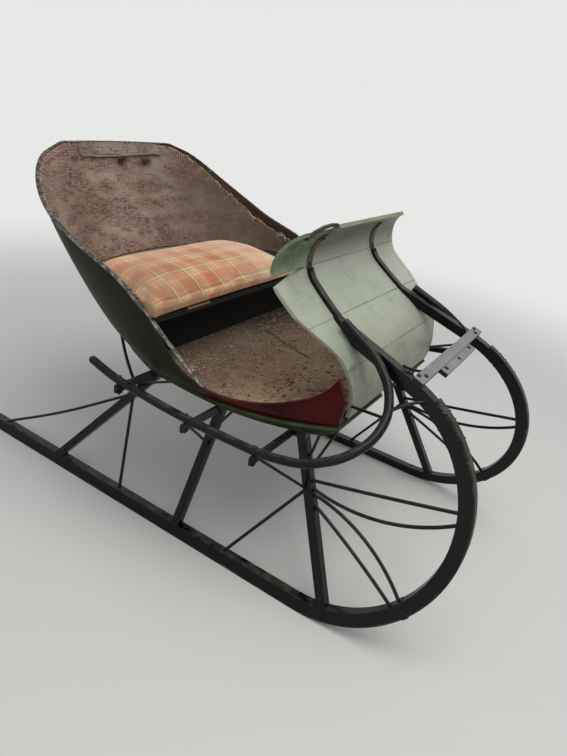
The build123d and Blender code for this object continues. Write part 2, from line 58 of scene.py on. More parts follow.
def addCamera():
    yaw, pitch, roll = (math.radians(cameraPlace[key]) for key in ("yaw", "pitch", "roll"))
    forward = Vector((math.cos(yaw) * math.cos(pitch), math.sin(yaw) * math.cos(pitch), -math.sin(pitch)))
    level = forward.cross(Vector((0, 0, 1))).normalized()
    upright = level.cross(forward)
    right = level * math.cos(roll) + upright * math.sin(roll)
    up = upright * math.cos(roll) - level * math.sin(roll)
    bpy.ops.object.camera_add(location=cameraPlace["location"])
    camera = bpy.context.object
    camera.rotation_euler = Matrix((right, up, -forward)).transposed().to_euler()
    camera.data.sensor_width = cameraPlace["sensor"]
    camera.data.lens = cameraPlace["focal"] / cameraPlace["longSide"] * cameraPlace["sensor"]
    camera.data.clip_start = cameraPlace["clipStart"]
    bpy.context.scene.camera = camera


def addLamp(place, size, power):
    bpy.ops.object.light_add(type="AREA", location=place)
    lamp = bpy.context.object
    lamp.data.size = size
    lamp.data.energy = power
    lamp.rotation_euler = (Vector(lamps["aim"]) - Vector(place)).to_track_quat("-Z", "Y").to_euler()


def linear(hexColour):
    # sRGB hex to the linear values that a colour socket takes
    parts = [int(hexColour[i:i + 2], 16) / 255 for i in (1, 3, 5)]
    return [c / 12.92 if c <= 0.04045 else ((c + 0.055) / 1.055) ** 2.4 for c in parts] + [1.0]


def addNode(tree, kind, inputs=None, **settings):
    # one node, with its settings, and each input as a value or as a link from another node or socket
    node = tree.nodes.new("ShaderNode" + kind)
    for key, value in settings.items():
        setattr(node, key, value)
    for key, value in (inputs or {}).items():
        if isinstance(value, bpy.types.Node):
            value = value.outputs[0]
        if isinstance(value, bpy.types.NodeSocket):
            tree.links.new(value, node.inputs[key])
        else:
            node.inputs[key].default_value = linear(value) if isinstance(value, str) else value
    return node


class coats:
    # one material: masks are made on its surface, and colours are laid over each other by them
    def __init__(self, name, base, roughness, metallic=0.0, ior=1.5):
        self.material = bpy.data.materials.new(name)
        self.material.use_nodes = True
        self.tree = self.material.node_tree
        self.shader = self.tree.nodes["Principled BSDF"]
        self.shader.inputs["Roughness"].default_value = roughness
        self.shader.inputs["Metallic"].default_value = metallic
        if not metallic:
            self.shader.inputs["IOR"].default_value = ior
        self.place = self.add("TexCoord").outputs["Object"]
        self.colour = base

    def add(self, kind, inputs=None, **settings):
        return addNode(self.tree, kind, inputs, **settings)

    def calc(self, operation, *values, **settings):
        return self.add("Math", dict(enumerate(values)), operation=operation, **settings)

    def vector(self, operation, *values):
        node = self.add("VectorMath", dict(enumerate(values)), operation=operation)
        return node.outputs["Value" if operation in ("DISTANCE", "DOT_PRODUCT") else "Vector"]

    def chain(self, operation, masks):
        result = masks[0]
        for mask in masks[1:]:
            result = self.calc(operation, result, mask)
        return result

    def times(self, *masks):
        return self.chain("MULTIPLY", masks)

    def most(self, *masks):
        return self.chain("MAXIMUM", masks)

    def axis(self, name):
        return self.add("SeparateXYZ", {0: self.place}).outputs[name]

    def cloth(self):
        # places on the flat cloth, which the soft pieces carry
        return self.add("Attribute", attribute_name="clothPlace").outputs["Vector"]

    def ranged(self, value, start=0.0, end=1.0, low=0.0, high=1.0):
        # low where the value is at start, high where it is at end, and held past them
        return self.add("MapRange", {"Value": value, "From Min": start, "From Max": end, "To Min": low, "To Max": high})

    def patches(self, sizeMm, start, end, detail=5.0, stretch=None, on=None):
        # soft mask of blotches about sizeMm wide, 0 where the noise is under start and 1 over end;
        # stretch draws them out where it is under 1, and on puts them on another place than the object's
        place = self.place if on is None else on
        if stretch:
            place = self.add("Mapping", {"Vector": place, "Scale": stretch})
        spots = self.add("TexNoise", {"Vector": place, "Scale": 1000 / sizeMm, "Detail": detail})
        return self.ranged(spots, start, end)

    def up(self, start, end):
        # 1 on faces that look up, where dust lies
        normal = self.add("NewGeometry").outputs["Normal"]
        return self.ranged(self.add("SeparateXYZ", {0: normal}).outputs["Z"], start, end)

    def mixed(self, mask, under, over):
        return self.add("MixRGB", {"Fac": mask, "Color1": under, "Color2": over})

    def lay(self, over, *masks):
        # a colour over all that is there, where every mask is 1
        self.colour = self.mixed(self.times(*masks), self.colour, over)

    def done(self, bumps=(), rough=None):
        # bumps are (mask, depth in mm) from coarse to fine
        self.tree.links.new(self.colour.outputs[0], self.shader.inputs["Base Color"])
        if rough is not None:
            self.tree.links.new(rough.outputs[0], self.shader.inputs["Roughness"])
        under = {}
        for mask, depth in bumps:
            relief = self.add("Bump", {"Height": mask, "Distance": depth * mm, "Strength": 1.0, **under})
            under = {"Normal": relief}
        if under:
            self.tree.links.new(relief.outputs[0], self.shader.inputs["Normal"])
        return self.material


def blackCoachPaint(name, base, dust, dustStart):
    # old black carriage paint on ash and iron: satin, dusty on top, rubbed brown in spots
    paint = coats(name, base, 0.34, ior=1.3)
    paint.lay("#221c17", paint.patches(24, 0.64, 0.71))
    dusty = paint.times(paint.up(dustStart, 1.0), paint.patches(38, 0.36, 0.72, 7.0))
    paint.lay(dust, dusty)
    specks = paint.patches(4, 0.68, 0.72)
    paint.lay("#6d695f", specks, paint.up(0.3, 0.9))
    rough = paint.ranged(dusty, low=0.22, high=0.6)
    return paint.done([(paint.patches(11, 0.3, 0.7), 0.2), (specks, 0.25)], rough)


def blackBarPaintWithPaintedHighlight():
    # draw bar: black paint, its top faces painted a smooth light grey as a painted highlight
    paint = coats("blackBarPaintWithPaintedHighlight", "#151515", 0.5, ior=1.4)
    paint.lay("#83827f", paint.up(0.5, 0.95), paint.ranged(paint.patches(60, 0.3, 0.7, 4.0), low=0.7))
    return paint.done([(paint.patches(9, 0.3, 0.7), 0.15)])


def insideTub(paint):
    # 1 on faces that look towards the middle of the tub
    spoke = paint.vector("SUBTRACT", paint.place, (tub["centreX"], 0, 0))
    level = paint.vector("MULTIPLY", spoke, (1, 1, 0))
    facing = paint.vector("DOT_PRODUCT", level, paint.add("NewGeometry").outputs["Normal"])
    return paint.ranged(facing, 0.02, -0.02)


dashSeams = {"heights": (0.965, 0.85, 0.75), "edge": 0.0011, "core": 0.0004}


def dashEnamel():
    # hand-brushed sage enamel on thin boards, chalky with age, grimy towards the foot
    paint = coats("sageEnamelOnPoplar", "#a5a997", 0.42, ior=1.35)
    height = paint.axis("Z")
    paint.lay("#969c88", paint.patches(260, 0.35, 0.65))
    paint.lay("#6c7254", paint.ranged(height, 0.84, 0.60), paint.patches(170, 0.15, 0.6))
    # the curl at the top lies in its own shade, greener
    paint.lay("#354127", paint.ranged(height, 0.95, 1.02), paint.ranged(paint.patches(140, 0.2, 0.7), low=0.8))
    # painted shade: the wing that turns in on the sleigh's right is darkened to a deeper green
    paint.lay("#43532f", paint.ranged(paint.axis("Y"), -0.16, -0.31, high=0.8), paint.ranged(height, 0.955, 0.975))
    # brush strokes run along the boards, across the sleigh
    strokes = paint.patches(5, 0.25, 0.75, 3.0, (1, 0.05, 1))
    paint.lay("#b3b7a6", paint.ranged(strokes, high=0.16))
    grime = paint.times(paint.patches(130, 0.52, 0.68, 8.0), paint.patches(30, 0.4, 0.7, 6.0))
    paint.lay("#565a44", grime, 0.4)
    # rubs, then chips to the pale ground coat
    paint.lay("#848b78", paint.patches(48, 0.50, 0.66, 7.0), paint.patches(200, 0.35, 0.6), 0.35)
    chips = paint.patches(6, 0.715, 0.735, 2.0)
    paint.lay("#d9d8cb", chips)
    # pale drips and scratches down the boards
    paint.lay("#c9cbbd", paint.patches(7, 0.70, 0.74, 2.0, (0.3, 1, 0.12)), paint.patches(160, 0.5, 0.6))
    # dark joints between the boards, fainter where paint has filled them
    lines = [paint.ranged(paint.calc("ABSOLUTE", paint.calc("SUBTRACT", height, seam)), dashSeams["edge"],
                          dashSeams["core"]) for seam in dashSeams["heights"]]
    joints = paint.times(paint.most(*lines), paint.ranged(paint.patches(150, 0.35, 0.6, 3.0), low=0.35))
    paint.lay("#24261b", joints)
    rough = paint.ranged(grime, low=0.38, high=0.65)
    return paint.done([(paint.patches(110, 0.2, 0.8, 1.0), 0.9), (strokes, 0.06), (chips, -0.2),
                       (paint.calc("SUBTRACT", 1.0, joints), 0.6)], rough)


def panelPaint(name, base, shade, worn, dusty, inside=None, gloss=0.36):
    # oil paint over bent poplar panels, checked and scuffed along the grain, bare and brown within the tub
    paint = coats(name, base, 0.4, ior=1.2)
    paint.lay(shade, paint.patches(170, 0.35, 0.65))
    checks = paint.patches(3.5, 0.62, 0.68, 4.0, (0.08, 0.08, 1))
    paint.lay(worn, checks, paint.patches(90, 0.45, 0.7))
    scuffs = paint.patches(14, 0.66, 0.72, 6.0)
    paint.lay(worn, scuffs)
    paint.lay(dusty, paint.up(-0.2, 0.9), paint.patches(70, 0.3, 0.8))
    rough = paint.ranged(scuffs, low=gloss, high=0.7)
    if inside:
        within = insideTub(paint)
        paint.lay(paint.mixed(paint.patches(30, 0.3, 0.7, 8.0), inside, "#35291f"), within)
        rough = paint.calc("ADD", rough, paint.times(within, 0.5), use_clamp=True)
    return paint.done([(paint.patches(120, 0.2, 0.8), 1.0), (checks, -0.15)], rough)


def liningCanvas():
    # cotton canvas that backed the lost upholstery: coarse weave, grey dust, rust-brown dye stains
    paint = coats("liningCanvas", "#ad9a89", 0.93, ior=1.45)
    cloth = paint.cloth()
    paint.lay("#8f7c69", paint.patches(150, 0.35, 0.68, 7.0))
    # flat noise drawn out along the warp and the weft gives the woven, cross-hatched stains
    along = paint.patches(3.4, 0.46, 0.60, 4.0, (0.12, 1, 1), cloth)
    down = paint.patches(3.4, 0.48, 0.62, 4.0, (1, 0.14, 1), cloth)
    crossed = paint.most(along, down)
    paint.lay("#bcab9a", along, down, 0.5)
    # the stains, wide ones and then smaller, darker ones
    paint.lay("#6b4236", paint.patches(75, 0.41, 0.56, 9.0, (0.5, 1.2, 1), cloth), crossed)
    paint.lay("#553329", paint.patches(34, 0.49, 0.62, 9.0, (0.55, 1, 1), cloth), crossed, 0.9)
    # brown flecks of dust caught in the weave, drawn at 5 mm so that they show
    paint.lay("#57402f", paint.patches(5, 0.53, 0.61, 3.0, on=cloth),
              paint.ranged(paint.patches(130, 0.35, 0.65, 4.0, on=cloth), low=0.25, high=0.9))
    # dark water marks, and the shaded left side
    paint.lay("#54443a", paint.patches(210, 0.54, 0.70), 0.45)
    paint.lay("#58463b", paint.ranged(paint.axis("Y"), 0.10, 0.40, high=0.75))
    flecks = paint.patches(3, 0.4, 0.72, 3.0, on=cloth)
    paint.lay("#594b41", paint.ranged(flecks, high=0.4))
    return paint.done([(paint.patches(34, 0.2, 0.8), 1.4), (crossed, 0.35), (flecks, 0.4)])


def dirtyBoards(name, wood, dark, dirt):
    # bare pine boards, grey with age, with dirt lying on them
    paint = coats(name, wood, 0.88)
    lines = paint.patches(4, 0.35, 0.7, 6.0, (1, 0.05, 1))
    paint.lay(dark, lines)
    caked = paint.times(paint.patches(70, 0.34, 0.56, 9.0), paint.up(0.2, 0.9))
    paint.lay(dirt, caked)
    grit = paint.patches(5, 0.5, 0.66, 6.0)
    paint.lay("#a18d77", grit, paint.up(0.2, 0.9))
    crumbs = paint.patches(8, 0.60, 0.66)
    paint.lay("#3a2e25", crumbs)
    paint.lay("#3c3027", paint.patches(170, 0.50, 0.68), 0.8)
    return paint.done([(caked, 2.0), (grit, 1.0), (crumbs, -1.0), (lines, 0.3)])


floorCrack = {"slope": 0.359, "offset": 0.0792, "startX": -0.06, "endX": 0.2, "blend": 0.01, "edge": 4.8 * mm,
              "core": 1.8 * mm, "wander": 9 * mm}
chipDrifts = {"height": 0.572, "core": 0.2, "spots": ((0.22, -0.18, 0.13), (0.24, 0.09, 0.10), (0.35, -0.2, 0.09))}


def dirtyFloorAndPaintedLight():
    # pine floor under sandy soil and chaff: grey-brown, paler in drifts, with one open joint, painted shade under the
    # seat and painted light towards the dash
    paint = coats("soiledPineFloorAndPaintedLight", "#6c5543", 0.92)
    ahead, left = paint.axis("X"), paint.axis("Y")
    paint.lay("#876d56", paint.patches(120, 0.32, 0.68, 8.0))
    sand = paint.patches(45, 0.52, 0.64, 8.0, (0.7, 1, 1))
    paint.lay("#a0846a", sand, 0.6)
    # painted shade: aft of the seat front the boards are darkened, where the seat shades them
    paint.lay("#54443a", paint.ranged(ahead, 0.10, -0.15, high=0.7))
    # towards the dash the sand lies pale and dry, lightened further as painted light against the dash's shadow; painted
    # shade: the far corner under the seat is darkened nearly to black
    paint.lay("#dcbc96", paint.ranged(ahead, 0.10, 0.28, high=0.75),
              paint.ranged(paint.patches(40, 0.3, 0.6, 8.0), low=0.6))
    paint.lay("#26170e", paint.ranged(left, 0.02, 0.2), paint.ranged(ahead, 0.06, -0.08, high=0.85))
    # dark damp grains between the sand, drawn at 4 mm so that they show
    paint.lay("#4c3b2d", paint.patches(4, 0.50, 0.60, 3.0), 0.5)
    # red-brown flakes in three drifts
    drifts = [paint.ranged(paint.vector("DISTANCE", paint.place, (x, y, chipDrifts["height"])), reach,
                           reach * chipDrifts["core"]) for x, y, reach in chipDrifts["spots"]]
    paint.lay("#84492f", paint.most(*drifts), paint.patches(9, 0.46, 0.58), 0.8)
    light = paint.patches(5, 0.59, 0.65, 4.0)
    paint.lay("#c7b498", light)
    dark = paint.patches(5, 0.66, 0.70, stretch=(0.5, 1, 1))
    paint.lay("#2e241d", dark)
    # the open joint, ragged with dirt
    ragged = paint.ranged(paint.add("TexNoise", {"Vector": paint.place, "Scale": 60.0}), low=-floorCrack["wander"],
                          high=floorCrack["wander"])
    line = paint.calc("ADD", paint.times(ahead, -floorCrack["slope"]), floorCrack["offset"])
    off = paint.calc("ABSOLUTE", paint.calc("ADD", paint.calc("SUBTRACT", left, line), ragged))
    start, end, blend = floorCrack["startX"], floorCrack["endX"], floorCrack["blend"]
    crack = paint.times(paint.ranged(off, floorCrack["edge"], floorCrack["core"]),
                        paint.ranged(ahead, start - blend, start + blend),
                        paint.ranged(ahead, end + blend, end - blend))
    paint.lay("#191310", crack)
    return paint.done([(sand, 3.0), (light, 1.5), (dark, -1.5), (crack, -4.0)])


seatEdge = {"paleFrom": -0.36, "paleTo": -0.255, "blend": 0.006, "low": 0.7545, "high": 0.7565}


def seatPine():
    # pine seat board, near black but for one pale length of its front edge
    paint = coats("darkPineSeat", "#1a130e", 0.85)
    across, start, end, blend = paint.axis("Y"), seatEdge["paleFrom"], seatEdge["paleTo"], seatEdge["blend"]
    paint.lay("#100c09", paint.patches(30, 0.35, 0.65, 6.0))
    paint.lay("#a08467", paint.ranged(across, start - blend, start), paint.ranged(across, end + blend, end),
              paint.patches(12, 0.25, 0.4, 3.0, (1, 0.1, 1)),
              paint.ranged(paint.axis("Z"), seatEdge["low"], seatEdge["high"]))
    # behind the cushion the board is grey with settled dust
    paint.lay("#6d5c4e", paint.ranged(paint.axis("X"), -0.34, -0.37))
    return paint.done([(paint.patches(5, 0.3, 0.7, 4.0, (1, 0.06, 1)), 0.3)])


def darkVoidPine():
    # pine under the seat, painted near black as painted shade for the dark open space under the seat
    paint = coats("pineDarkenedAsPaintedShade", "#110d09", 0.85, ior=1.4)
    paint.lay("#0a0705", paint.patches(40, 0.35, 0.7, 6.0))
    return paint.done([(paint.patches(6, 0.3, 0.7), 0.3)])


def rustyIron():
    # forged strap iron with old paint gone to brown rust
    paint = coats("rustyIron", "#4a3a2c", 0.75, 0.35)
    paint.lay("#6b4a30", paint.patches(16, 0.4, 0.65, 7.0))
    paint.lay("#4c5540", paint.patches(30, 0.52, 0.66))
    return paint.done([(paint.patches(4, 0.3, 0.7), 0.35)])


def wornShoeSteel():
    # steel runner shoe, dull brown with bright scratches underneath
    paint = coats("wornShoeSteel", "#24211e", 0.5, 0.7)
    scratches = paint.patches(3, 0.45, 0.7, 3.0, (0.04, 1, 1))
    paint.lay("#35291f", paint.patches(40, 0.4, 0.65))
    paint.lay("#6d6a65", scratches, paint.patches(80, 0.5, 0.65))
    return paint.done([(scratches, 0.1)])


def wornRim():
    # rim binding of the tub: black leathercloth and paint, worn through to pale grey along the near side
    paint = coats("wornRimBinding", "#2b2824", 0.62)
    nearSide = paint.ranged(paint.axis("Y"), 0.05, -0.35, low=0.12)
    lower = paint.ranged(paint.axis("Z"), 0.95, 0.7, low=0.45)
    paint.lay("#3a332b", paint.patches(50, 0.4, 0.6))
    paint.lay("#8f8b80", paint.patches(26, 0.42, 0.58, 8.0), nearSide, lower)
    paint.lay("#171614", paint.patches(7, 0.62, 0.66, 3.0))
    paint.lay("#bdb8aa", paint.patches(8, 0.62, 0.68, 4.0), nearSide, lower)
    return paint.done([(paint.patches(6, 0.3, 0.7), 0.7)])


plaidRepeat = {"X": 86 * mm, "Y": 112 * mm}
plaidBands = ((0.0, "#c25b3f"), (0.25, "#c0593f"), (0.29, "#d39a70"), (0.325, "#665d30"), (0.385, "#6f6638"),
              (0.415, "#f0d6a2"), (0.47, "#f2daa8"), (0.50, "#7d7142"), (0.55, "#d9aa7a"), (0.77, "#d6a474"),
              (0.80, "#efd5a3"), (0.85, "#cb8b63"), (0.96, "#c4684a"))


def plaidCotton():
    # brushed cotton plaid, faded and dusty: salmon and tan bands with thin cream and olive lines
    paint = coats("plaidCotton", None, 0.95, ior=1.45)
    paint.shader.inputs["Sheen Weight"].default_value = 0.2
    paint.shader.inputs["Sheen Roughness"].default_value = 0.5
    # the weave wanders by up to 8 mm, as an old cover does
    flat = paint.cloth()
    bend = paint.add("TexNoise", {"Vector": flat, "Scale": 6.0, "Detail": 1.0}).outputs[1]
    cloth = paint.vector("ADD", flat, paint.vector("MULTIPLY", bend, (0.03, 0.03, 0)))
    axes = paint.add("SeparateXYZ", {0: cloth}).outputs
    bands = []
    for axis, repeat in plaidRepeat.items():
        ramp = paint.add("ValToRGB", {0: paint.calc("FRACT", paint.calc("DIVIDE", axes[axis], repeat))})
        stops = ramp.color_ramp.elements
        stops[1].position = 1.0
        stops[0].color = stops[1].color = linear(plaidBands[0][1])
        for spot, colour in plaidBands[1:]:
            stops.new(spot).color = linear(colour)
        bands.append(ramp)
    paint.colour = bands[0]
    paint.lay(bands[1], 0.5)
    paint.lay("#94785a", paint.patches(110, 0.44, 0.72, 8.0), 0.55)
    paint.lay("#dcbd96", paint.patches(90, 0.5, 0.72, 6.0), 0.4)
    # the corner against the right wall is brown with dust
    corner = paint.vector("DISTANCE", paint.place, (-0.10, -0.50, 0.82))
    paint.lay("#8a7159", paint.ranged(corner, 0.24, 0.05, high=0.85), paint.patches(35, 0.3, 0.62, 8.0))
    # painted light: the left end is lightened against the shade it lies in; the back is paler
    paint.lay("#f0d6b2", paint.ranged(paint.axis("Y"), -0.08, 0.16, high=0.6))
    paint.lay("#f3d8b6", paint.ranged(paint.axis("X"), -0.20, -0.33, high=0.3))
    paint.lay("#b5664c", paint.patches(13, 0.42, 0.66, 6.0), 0.28)
    # a dark red band along the foot of the cushion
    paint.lay("#4d1c12", paint.ranged(paint.axis("Z"), 0.7615, 0.7595))
    # twill threads drawn at 2 mm, twice the real ones, so that they show
    twill = paint.add("TexWave", {"Vector": cloth, "Scale": 160.0, "Distortion": 1.0}, bands_direction="DIAGONAL")
    fuzz = paint.patches(4, 0.3, 0.7, 4.0)
    paint.lay("#c69c78", paint.ranged(fuzz, high=0.22))
    return paint.done([(paint.patches(55, 0.2, 0.8), 4.0), (twill.outputs[1], 0.15), (fuzz, 0.3)])


def plainGrit(name, light, dark, third, sizeMm):
    # dry crumbs of soil, bark and chaff, no two alike
    paint = coats(name, dark, 0.95)
    paint.lay(light, paint.patches(sizeMm, 0.44, 0.56, 2.0))
    paint.lay(third, paint.patches(sizeMm * 1.6, 0.52, 0.6, 2.0))
    return paint.done()


def deselect():
    bpy.ops.object.select_all(action="DESELECT")


def only(piece):
    deselect()
    piece.select_set(True)
    bpy.context.view_layer.objects.active = piece


def editMesh(*steps):
    # the active piece in edit mode: all of it selected, then each (tool, settings) in turn
    bpy.ops.object.mode_set(mode="EDIT")
    bpy.ops.mesh.select_all(action="SELECT")
    for tool, settings in steps:
        tool(**settings)
    bpy.ops.object.mode_set(mode="OBJECT")


selectAll = (bpy.ops.mesh.select_all, {"action": "SELECT"})
selectNone = (bpy.ops.mesh.select_all, {"action": "DESELECT"})
facesOut = (bpy.ops.mesh.normals_make_consistent, {"inside": False})


def resized(x, y, z):
    return bpy.ops.transform.resize, {"value": (x, y, z)}


def extruded(move):
    return bpy.ops.mesh.extrude_region_move, {"TRANSFORM_OT_translate": {"value": move}}


def addModifier(piece, kind, **settings):
    modifier = piece.modifiers.new(kind.lower(), kind)
    for key, value in settings.items():
        setattr(modifier, key, value)
    return modifier


def applyModifiers(piece, smooth=False):
    only(piece)
    for modifier in list(piece.modifiers):
        bpy.ops.object.modifier_apply(modifier=modifier.name)
    if smooth:
        bpy.ops.object.shade_smooth()


def dress(piece, finish):
    piece.data.materials.clear()
    piece.data.materials.append(finish)
    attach(piece, "root")
    return piece


def joined(pieces, name):
    deselect()
    for piece in pieces:
        piece.select_set(True)
    bpy.context.view_layer.objects.active = pieces[0]
    if len(pieces) > 1:
        bpy.ops.object.join()
    pieces[0].name = name
    return pieces[0]


def copyOf(pattern, move=None):
    # a copy with its own mesh, moved within that mesh
    copy = pattern.copy()
    copy.data = pattern.data.copy()
    bpy.context.collection.objects.link(copy)
    if move is not None:
        copy.data.transform(move)
    return copy


def gridPiece(name, columns, rows, place):
    # a grid primitive whose vertex in column i and row j goes to place(i, j)
    deselect()
    bpy.ops.mesh.primitive_grid_add(x_subdivisions=columns, y_subdivisions=rows, size=2, location=(0, 0, 0))
    piece = bpy.context.object
    piece.name = name
    for vertex in piece.data.vertices:
        vertex.co = place(round((vertex.co.x + 1) / 2 * columns), round((vertex.co.y + 1) / 2 * rows))
    return piece


def treeOf(*names):
    # search tree over CAD nodes, for laying cloth and beads on them
    corners, faces = [], []
    for name in names:
        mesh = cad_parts[name].data
        first = len(corners)
        corners += [vertex.co.copy() for vertex in mesh.vertices]
        faces += [[first + i for i in face.vertices] for face in mesh.polygons]
    return BVHTree.FromPolygons(corners, faces)


def onSurface(tree, origin, direction):
    # where a ray meets the surface, and the normal there that looks back along it
    hit, normal = tree.ray_cast(Vector(origin), Vector(direction).normalized())[:2]
    if hit is None:
        return None
    if normal.dot(Vector(direction)) > 0:
        normal = -normal
    return tuple(hit), tuple(normal)


def hitsOn(tree, origins, direction):
    found = [onSurface(tree, origin, direction) for origin in origins]
    return [spot for spot in found if spot]


def evenly(first, last, steps):
    return [first + (last - first) * i / steps for i in range(steps + 1)]


def clamped(value):
    return min(1.0, max(0.0, value))


# the tub's wall is traced by rays from its middle
tub = {"centreX": -0.12, "lowest": 0.56, "highest": 1.16, "reach": 1.4, "sweep": 148.0, "samples": 720, "halvings": 13,
       "boundTo": 0.14, "underRim": 0.0004, "thickest": 0.05, "spacing": 6 * mm, "nudges": (0.0, 0.13, -0.13)}
insideX = -0.2
panelNames = ["back_panel"] + [name + side for name in ("side_panel", "low_side") for side in ("_right", "_left")]
tubTree = treeOf(*panelNames)


def outwardAt(angle):
    turn = math.radians(180 - angle)
    return Vector((math.cos(turn), math.sin(turn), 0))


def wallAt(angle, height, outside=False, tree=tubTree):
    # wall point at an angle from dead aft, positive to the sleigh's left, or None past the rim
    middle = Vector((tub["centreX"], 0, height))
    for nudge in tub["nudges"]:
        outward = outwardAt(angle + nudge)
        start, way = (middle + outward * tub["reach"], -outward) if outside else (middle, outward)
        spot = tree.ray_cast(start, way)[0]
        if spot is not None:
            return spot
    return None


def inwardFrom(spot):
    return Vector((tub["centreX"] - spot.x, -spot.y, 0)).normalized()


def rimHeight(angle):
    low, high = tub["lowest"], tub["highest"]
    if wallAt(angle, low) is None:
        return None
    for _ in range(tub["halvings"]):
        middle = (low + high) / 2
        if wallAt(angle, middle) is None:
            high = middle
        else:
            low = middle
    return low


def rimTrack():
    # evenly spaced (inner, outer) points of the rim from the right front round the back to the left front
    even = []
    for angle in evenly(-tub["sweep"], tub["sweep"], tub["samples"]):
        height = rimHeight(angle)
        if height is None:
            continue
        inner = wallAt(angle, height - tub["underRim"])
        outer = wallAt(angle, height - tub["underRim"], outside=True)
        if inner is None or outer is None or (inner - outer).length >= tub["thickest"] or inner.x >= tub["boundTo"]:
            continue
        if not even or (inner - even[-1][0]).length > tub["spacing"]:
            even.append((inner, outer))
    return even


rimBinding = {"proud": 3.2 * mm, "sunk": 1.0 * mm, "overhang": 4.2 * mm, "rows": 8, "fullness": 0.6, "wobble": 0.5 * mm,
              "thickness": 1.5 * mm, "tackSpacing": 25 * mm, "tackSize": 4.2 * mm, "tackSunk": 1.4 * mm}


def buildRimBinding(finish, tackFinish):
    track = rimTrack()
    middles = [(inner + outer) / 2 for inner, outer in track]
    last = len(track) - 1

    def frameAt(i):
        along = (middles[min(i + 1, last)] - middles[max(i - 1, 0)]).normalized()
        inner, outer = track[i]
        across = (outer - inner) - along * (outer - inner).dot(along)
        half = across.length / 2 + rimBinding["overhang"]
        across.normalize()
        up = along.cross(across)
        if up.z < 0 and abs(up.z) > 0.2:
            up = -up
        return across, up, half

    def place(i, j):
        across, up, half = frameAt(i)
        turn = math.pi * j / rimBinding["rows"]
        lift = math.sin(turn) ** rimBinding["fullness"] * rimBinding["proud"]
        wobble = noise.noise(middles[i] * 40) * rimBinding["wobble"]
        return middles[i] + across * (math.cos(turn) * half) + up * (lift + wobble - rimBinding["sunk"])

    piece = gridPiece("rim_binding", last, rimBinding["rows"], place)
    addModifier(piece, "SOLIDIFY", thickness=rimBinding["thickness"], offset=-1)
    applyModifiers(piece, smooth=True)
    dress(piece, finish)
    spots, walked = [], 0.0
    rand = random.Random(3)
    for i in range(1, last):
        walked += (middles[i] - middles[i - 1]).length
        if walked > rimBinding["tackSpacing"]:
            walked = rand.uniform(-5, 5) * mm
            across, up, half = frameAt(i)
            side = across * (half * rand.uniform(-0.25, 0.1))
            spots.append((middles[i] + side + up * (rimBinding["proud"] - rimBinding["tackSunk"]), up))
    tacks = placedCopies(boltHead(rimBinding["tackSize"], 10, 5), spots, "rim_tacks")
    dress(tacks, tackFinish)


lining = {"columns": 300, "rows": 84, "reachAngle": 92.0, "bottom": 0.7645, "gap": 2.5 * mm, "thickness": 1.2 * mm,
          "tornFrom": 14.0, "tornTo": 50.0, "tornDepth": 32.0, "neatDepth": 3.0, "neatJag": 1.5, "tornJag": 9.0,
          "puff": 3.5, "pucker": 1.3, "deepest": -1.2, "edgeShare": 7, "leanShare": 1.1}


def liningMargin(angle):
    # how far below the rim the cloth ends: torn away along the sleigh's left side
    torn = clamped((angle - lining["tornFrom"]) / (lining["tornTo"] - lining["tornFrom"]))
    jag = noise.noise(Vector((angle * 0.22, 3.1, 0))) + 0.6 * noise.noise(Vector((angle * 0.9, 7.7, 0)))
    jagged = jag * (lining["neatJag"] + lining["tornJag"] * torn)
    return (lining["neatDepth"] + torn * lining["tornDepth"] + jagged) * mm


def buildLining(finish):
    columns, rows, bottom = lining["columns"], lining["rows"], lining["bottom"]
    tops = [(angle, max(rimHeight(angle) - liningMargin(angle), bottom + 2 * mm))
            for angle in evenly(-lining["reachAngle"], lining["reachAngle"], columns)]

    def place(i, j):
        angle, top = tops[i]
        wall = wallAt(angle, bottom + (top - bottom) * j / rows)
        puff = noise.noise(Vector((wall.x * 5, wall.y * 5, wall.z * 7))) * lining["puff"]
        puff += noise.noise(wall * 26) * lining["pucker"]
        held = min(1.0, min(j, rows - j) / rows * lining["edgeShare"])
        return wall + inwardFrom(wall) * (lining["gap"] + max(puff, lining["deepest"]) * mm * held)

    piece = gridPiece("canvas_lining", columns, rows, place)
    around = [0.0]
    ring = [wallAt(angle, bottom) for angle, top in tops]
    for before, after in zip(ring, ring[1:]):
        around.append(around[-1] + (after - before).length)
    area = sum(face.area for face in piece.data.polygons)
    cloth = piece.data.attributes.new("clothPlace", "FLOAT_VECTOR", "POINT")
    for index, vertex in enumerate(piece.data.vertices):
        cloth.data[index].vector = (around[index % (columns + 1)], vertex.co.z, 0)
    tallest = max(top for angle, top in tops) - bottom
    addModifier(piece, "SOLIDIFY", thickness=lining["thickness"])
    applyModifiers(piece, smooth=True)
    dress(piece, finish)
    return piece, (around[-1], tallest * lining["leanShare"]), area


fringe = {"count": 340, "startAngle": 14.0, "endAngle": 90.0, "longest": 22.0 * mm, "shortest": 5 * mm,
          "width": 1.0 * mm, "steps": 4, "off": 4 * mm}
frayedCorner = {"share": 0.3, "startAngle": -40.0, "endAngle": -12.0, "short": 0.5}


def strands(paths, width, name):
    # threads along the given paths, every one a copy of the same narrow strip
    deselect()
    bpy.ops.mesh.primitive_grid_add(x_subdivisions=fringe["steps"], y_subdivisions=1, size=2)
    pattern = bpy.context.object
    copies = []
    for path in paths:
        copy = copyOf(pattern)
        side = (path[-1] - path[0]).cross(Vector((0.3, 0.2, 1.0)))
        side = side.normalized() if side.length > 1e-6 else Vector((0, 1, 0))
        for vertex in copy.data.vertices:
            step = round((vertex.co.x + 1) / 2 * fringe["steps"])
            vertex.co = path[step] + side * (vertex.co.y * width / 2)
        copies.append(copy)
    bpy.data.objects.remove(pattern)
    piece = joined(copies, name)
    addModifier(piece, "SOLIDIFY", thickness=width * 0.7)
    applyModifiers(piece)
    return piece


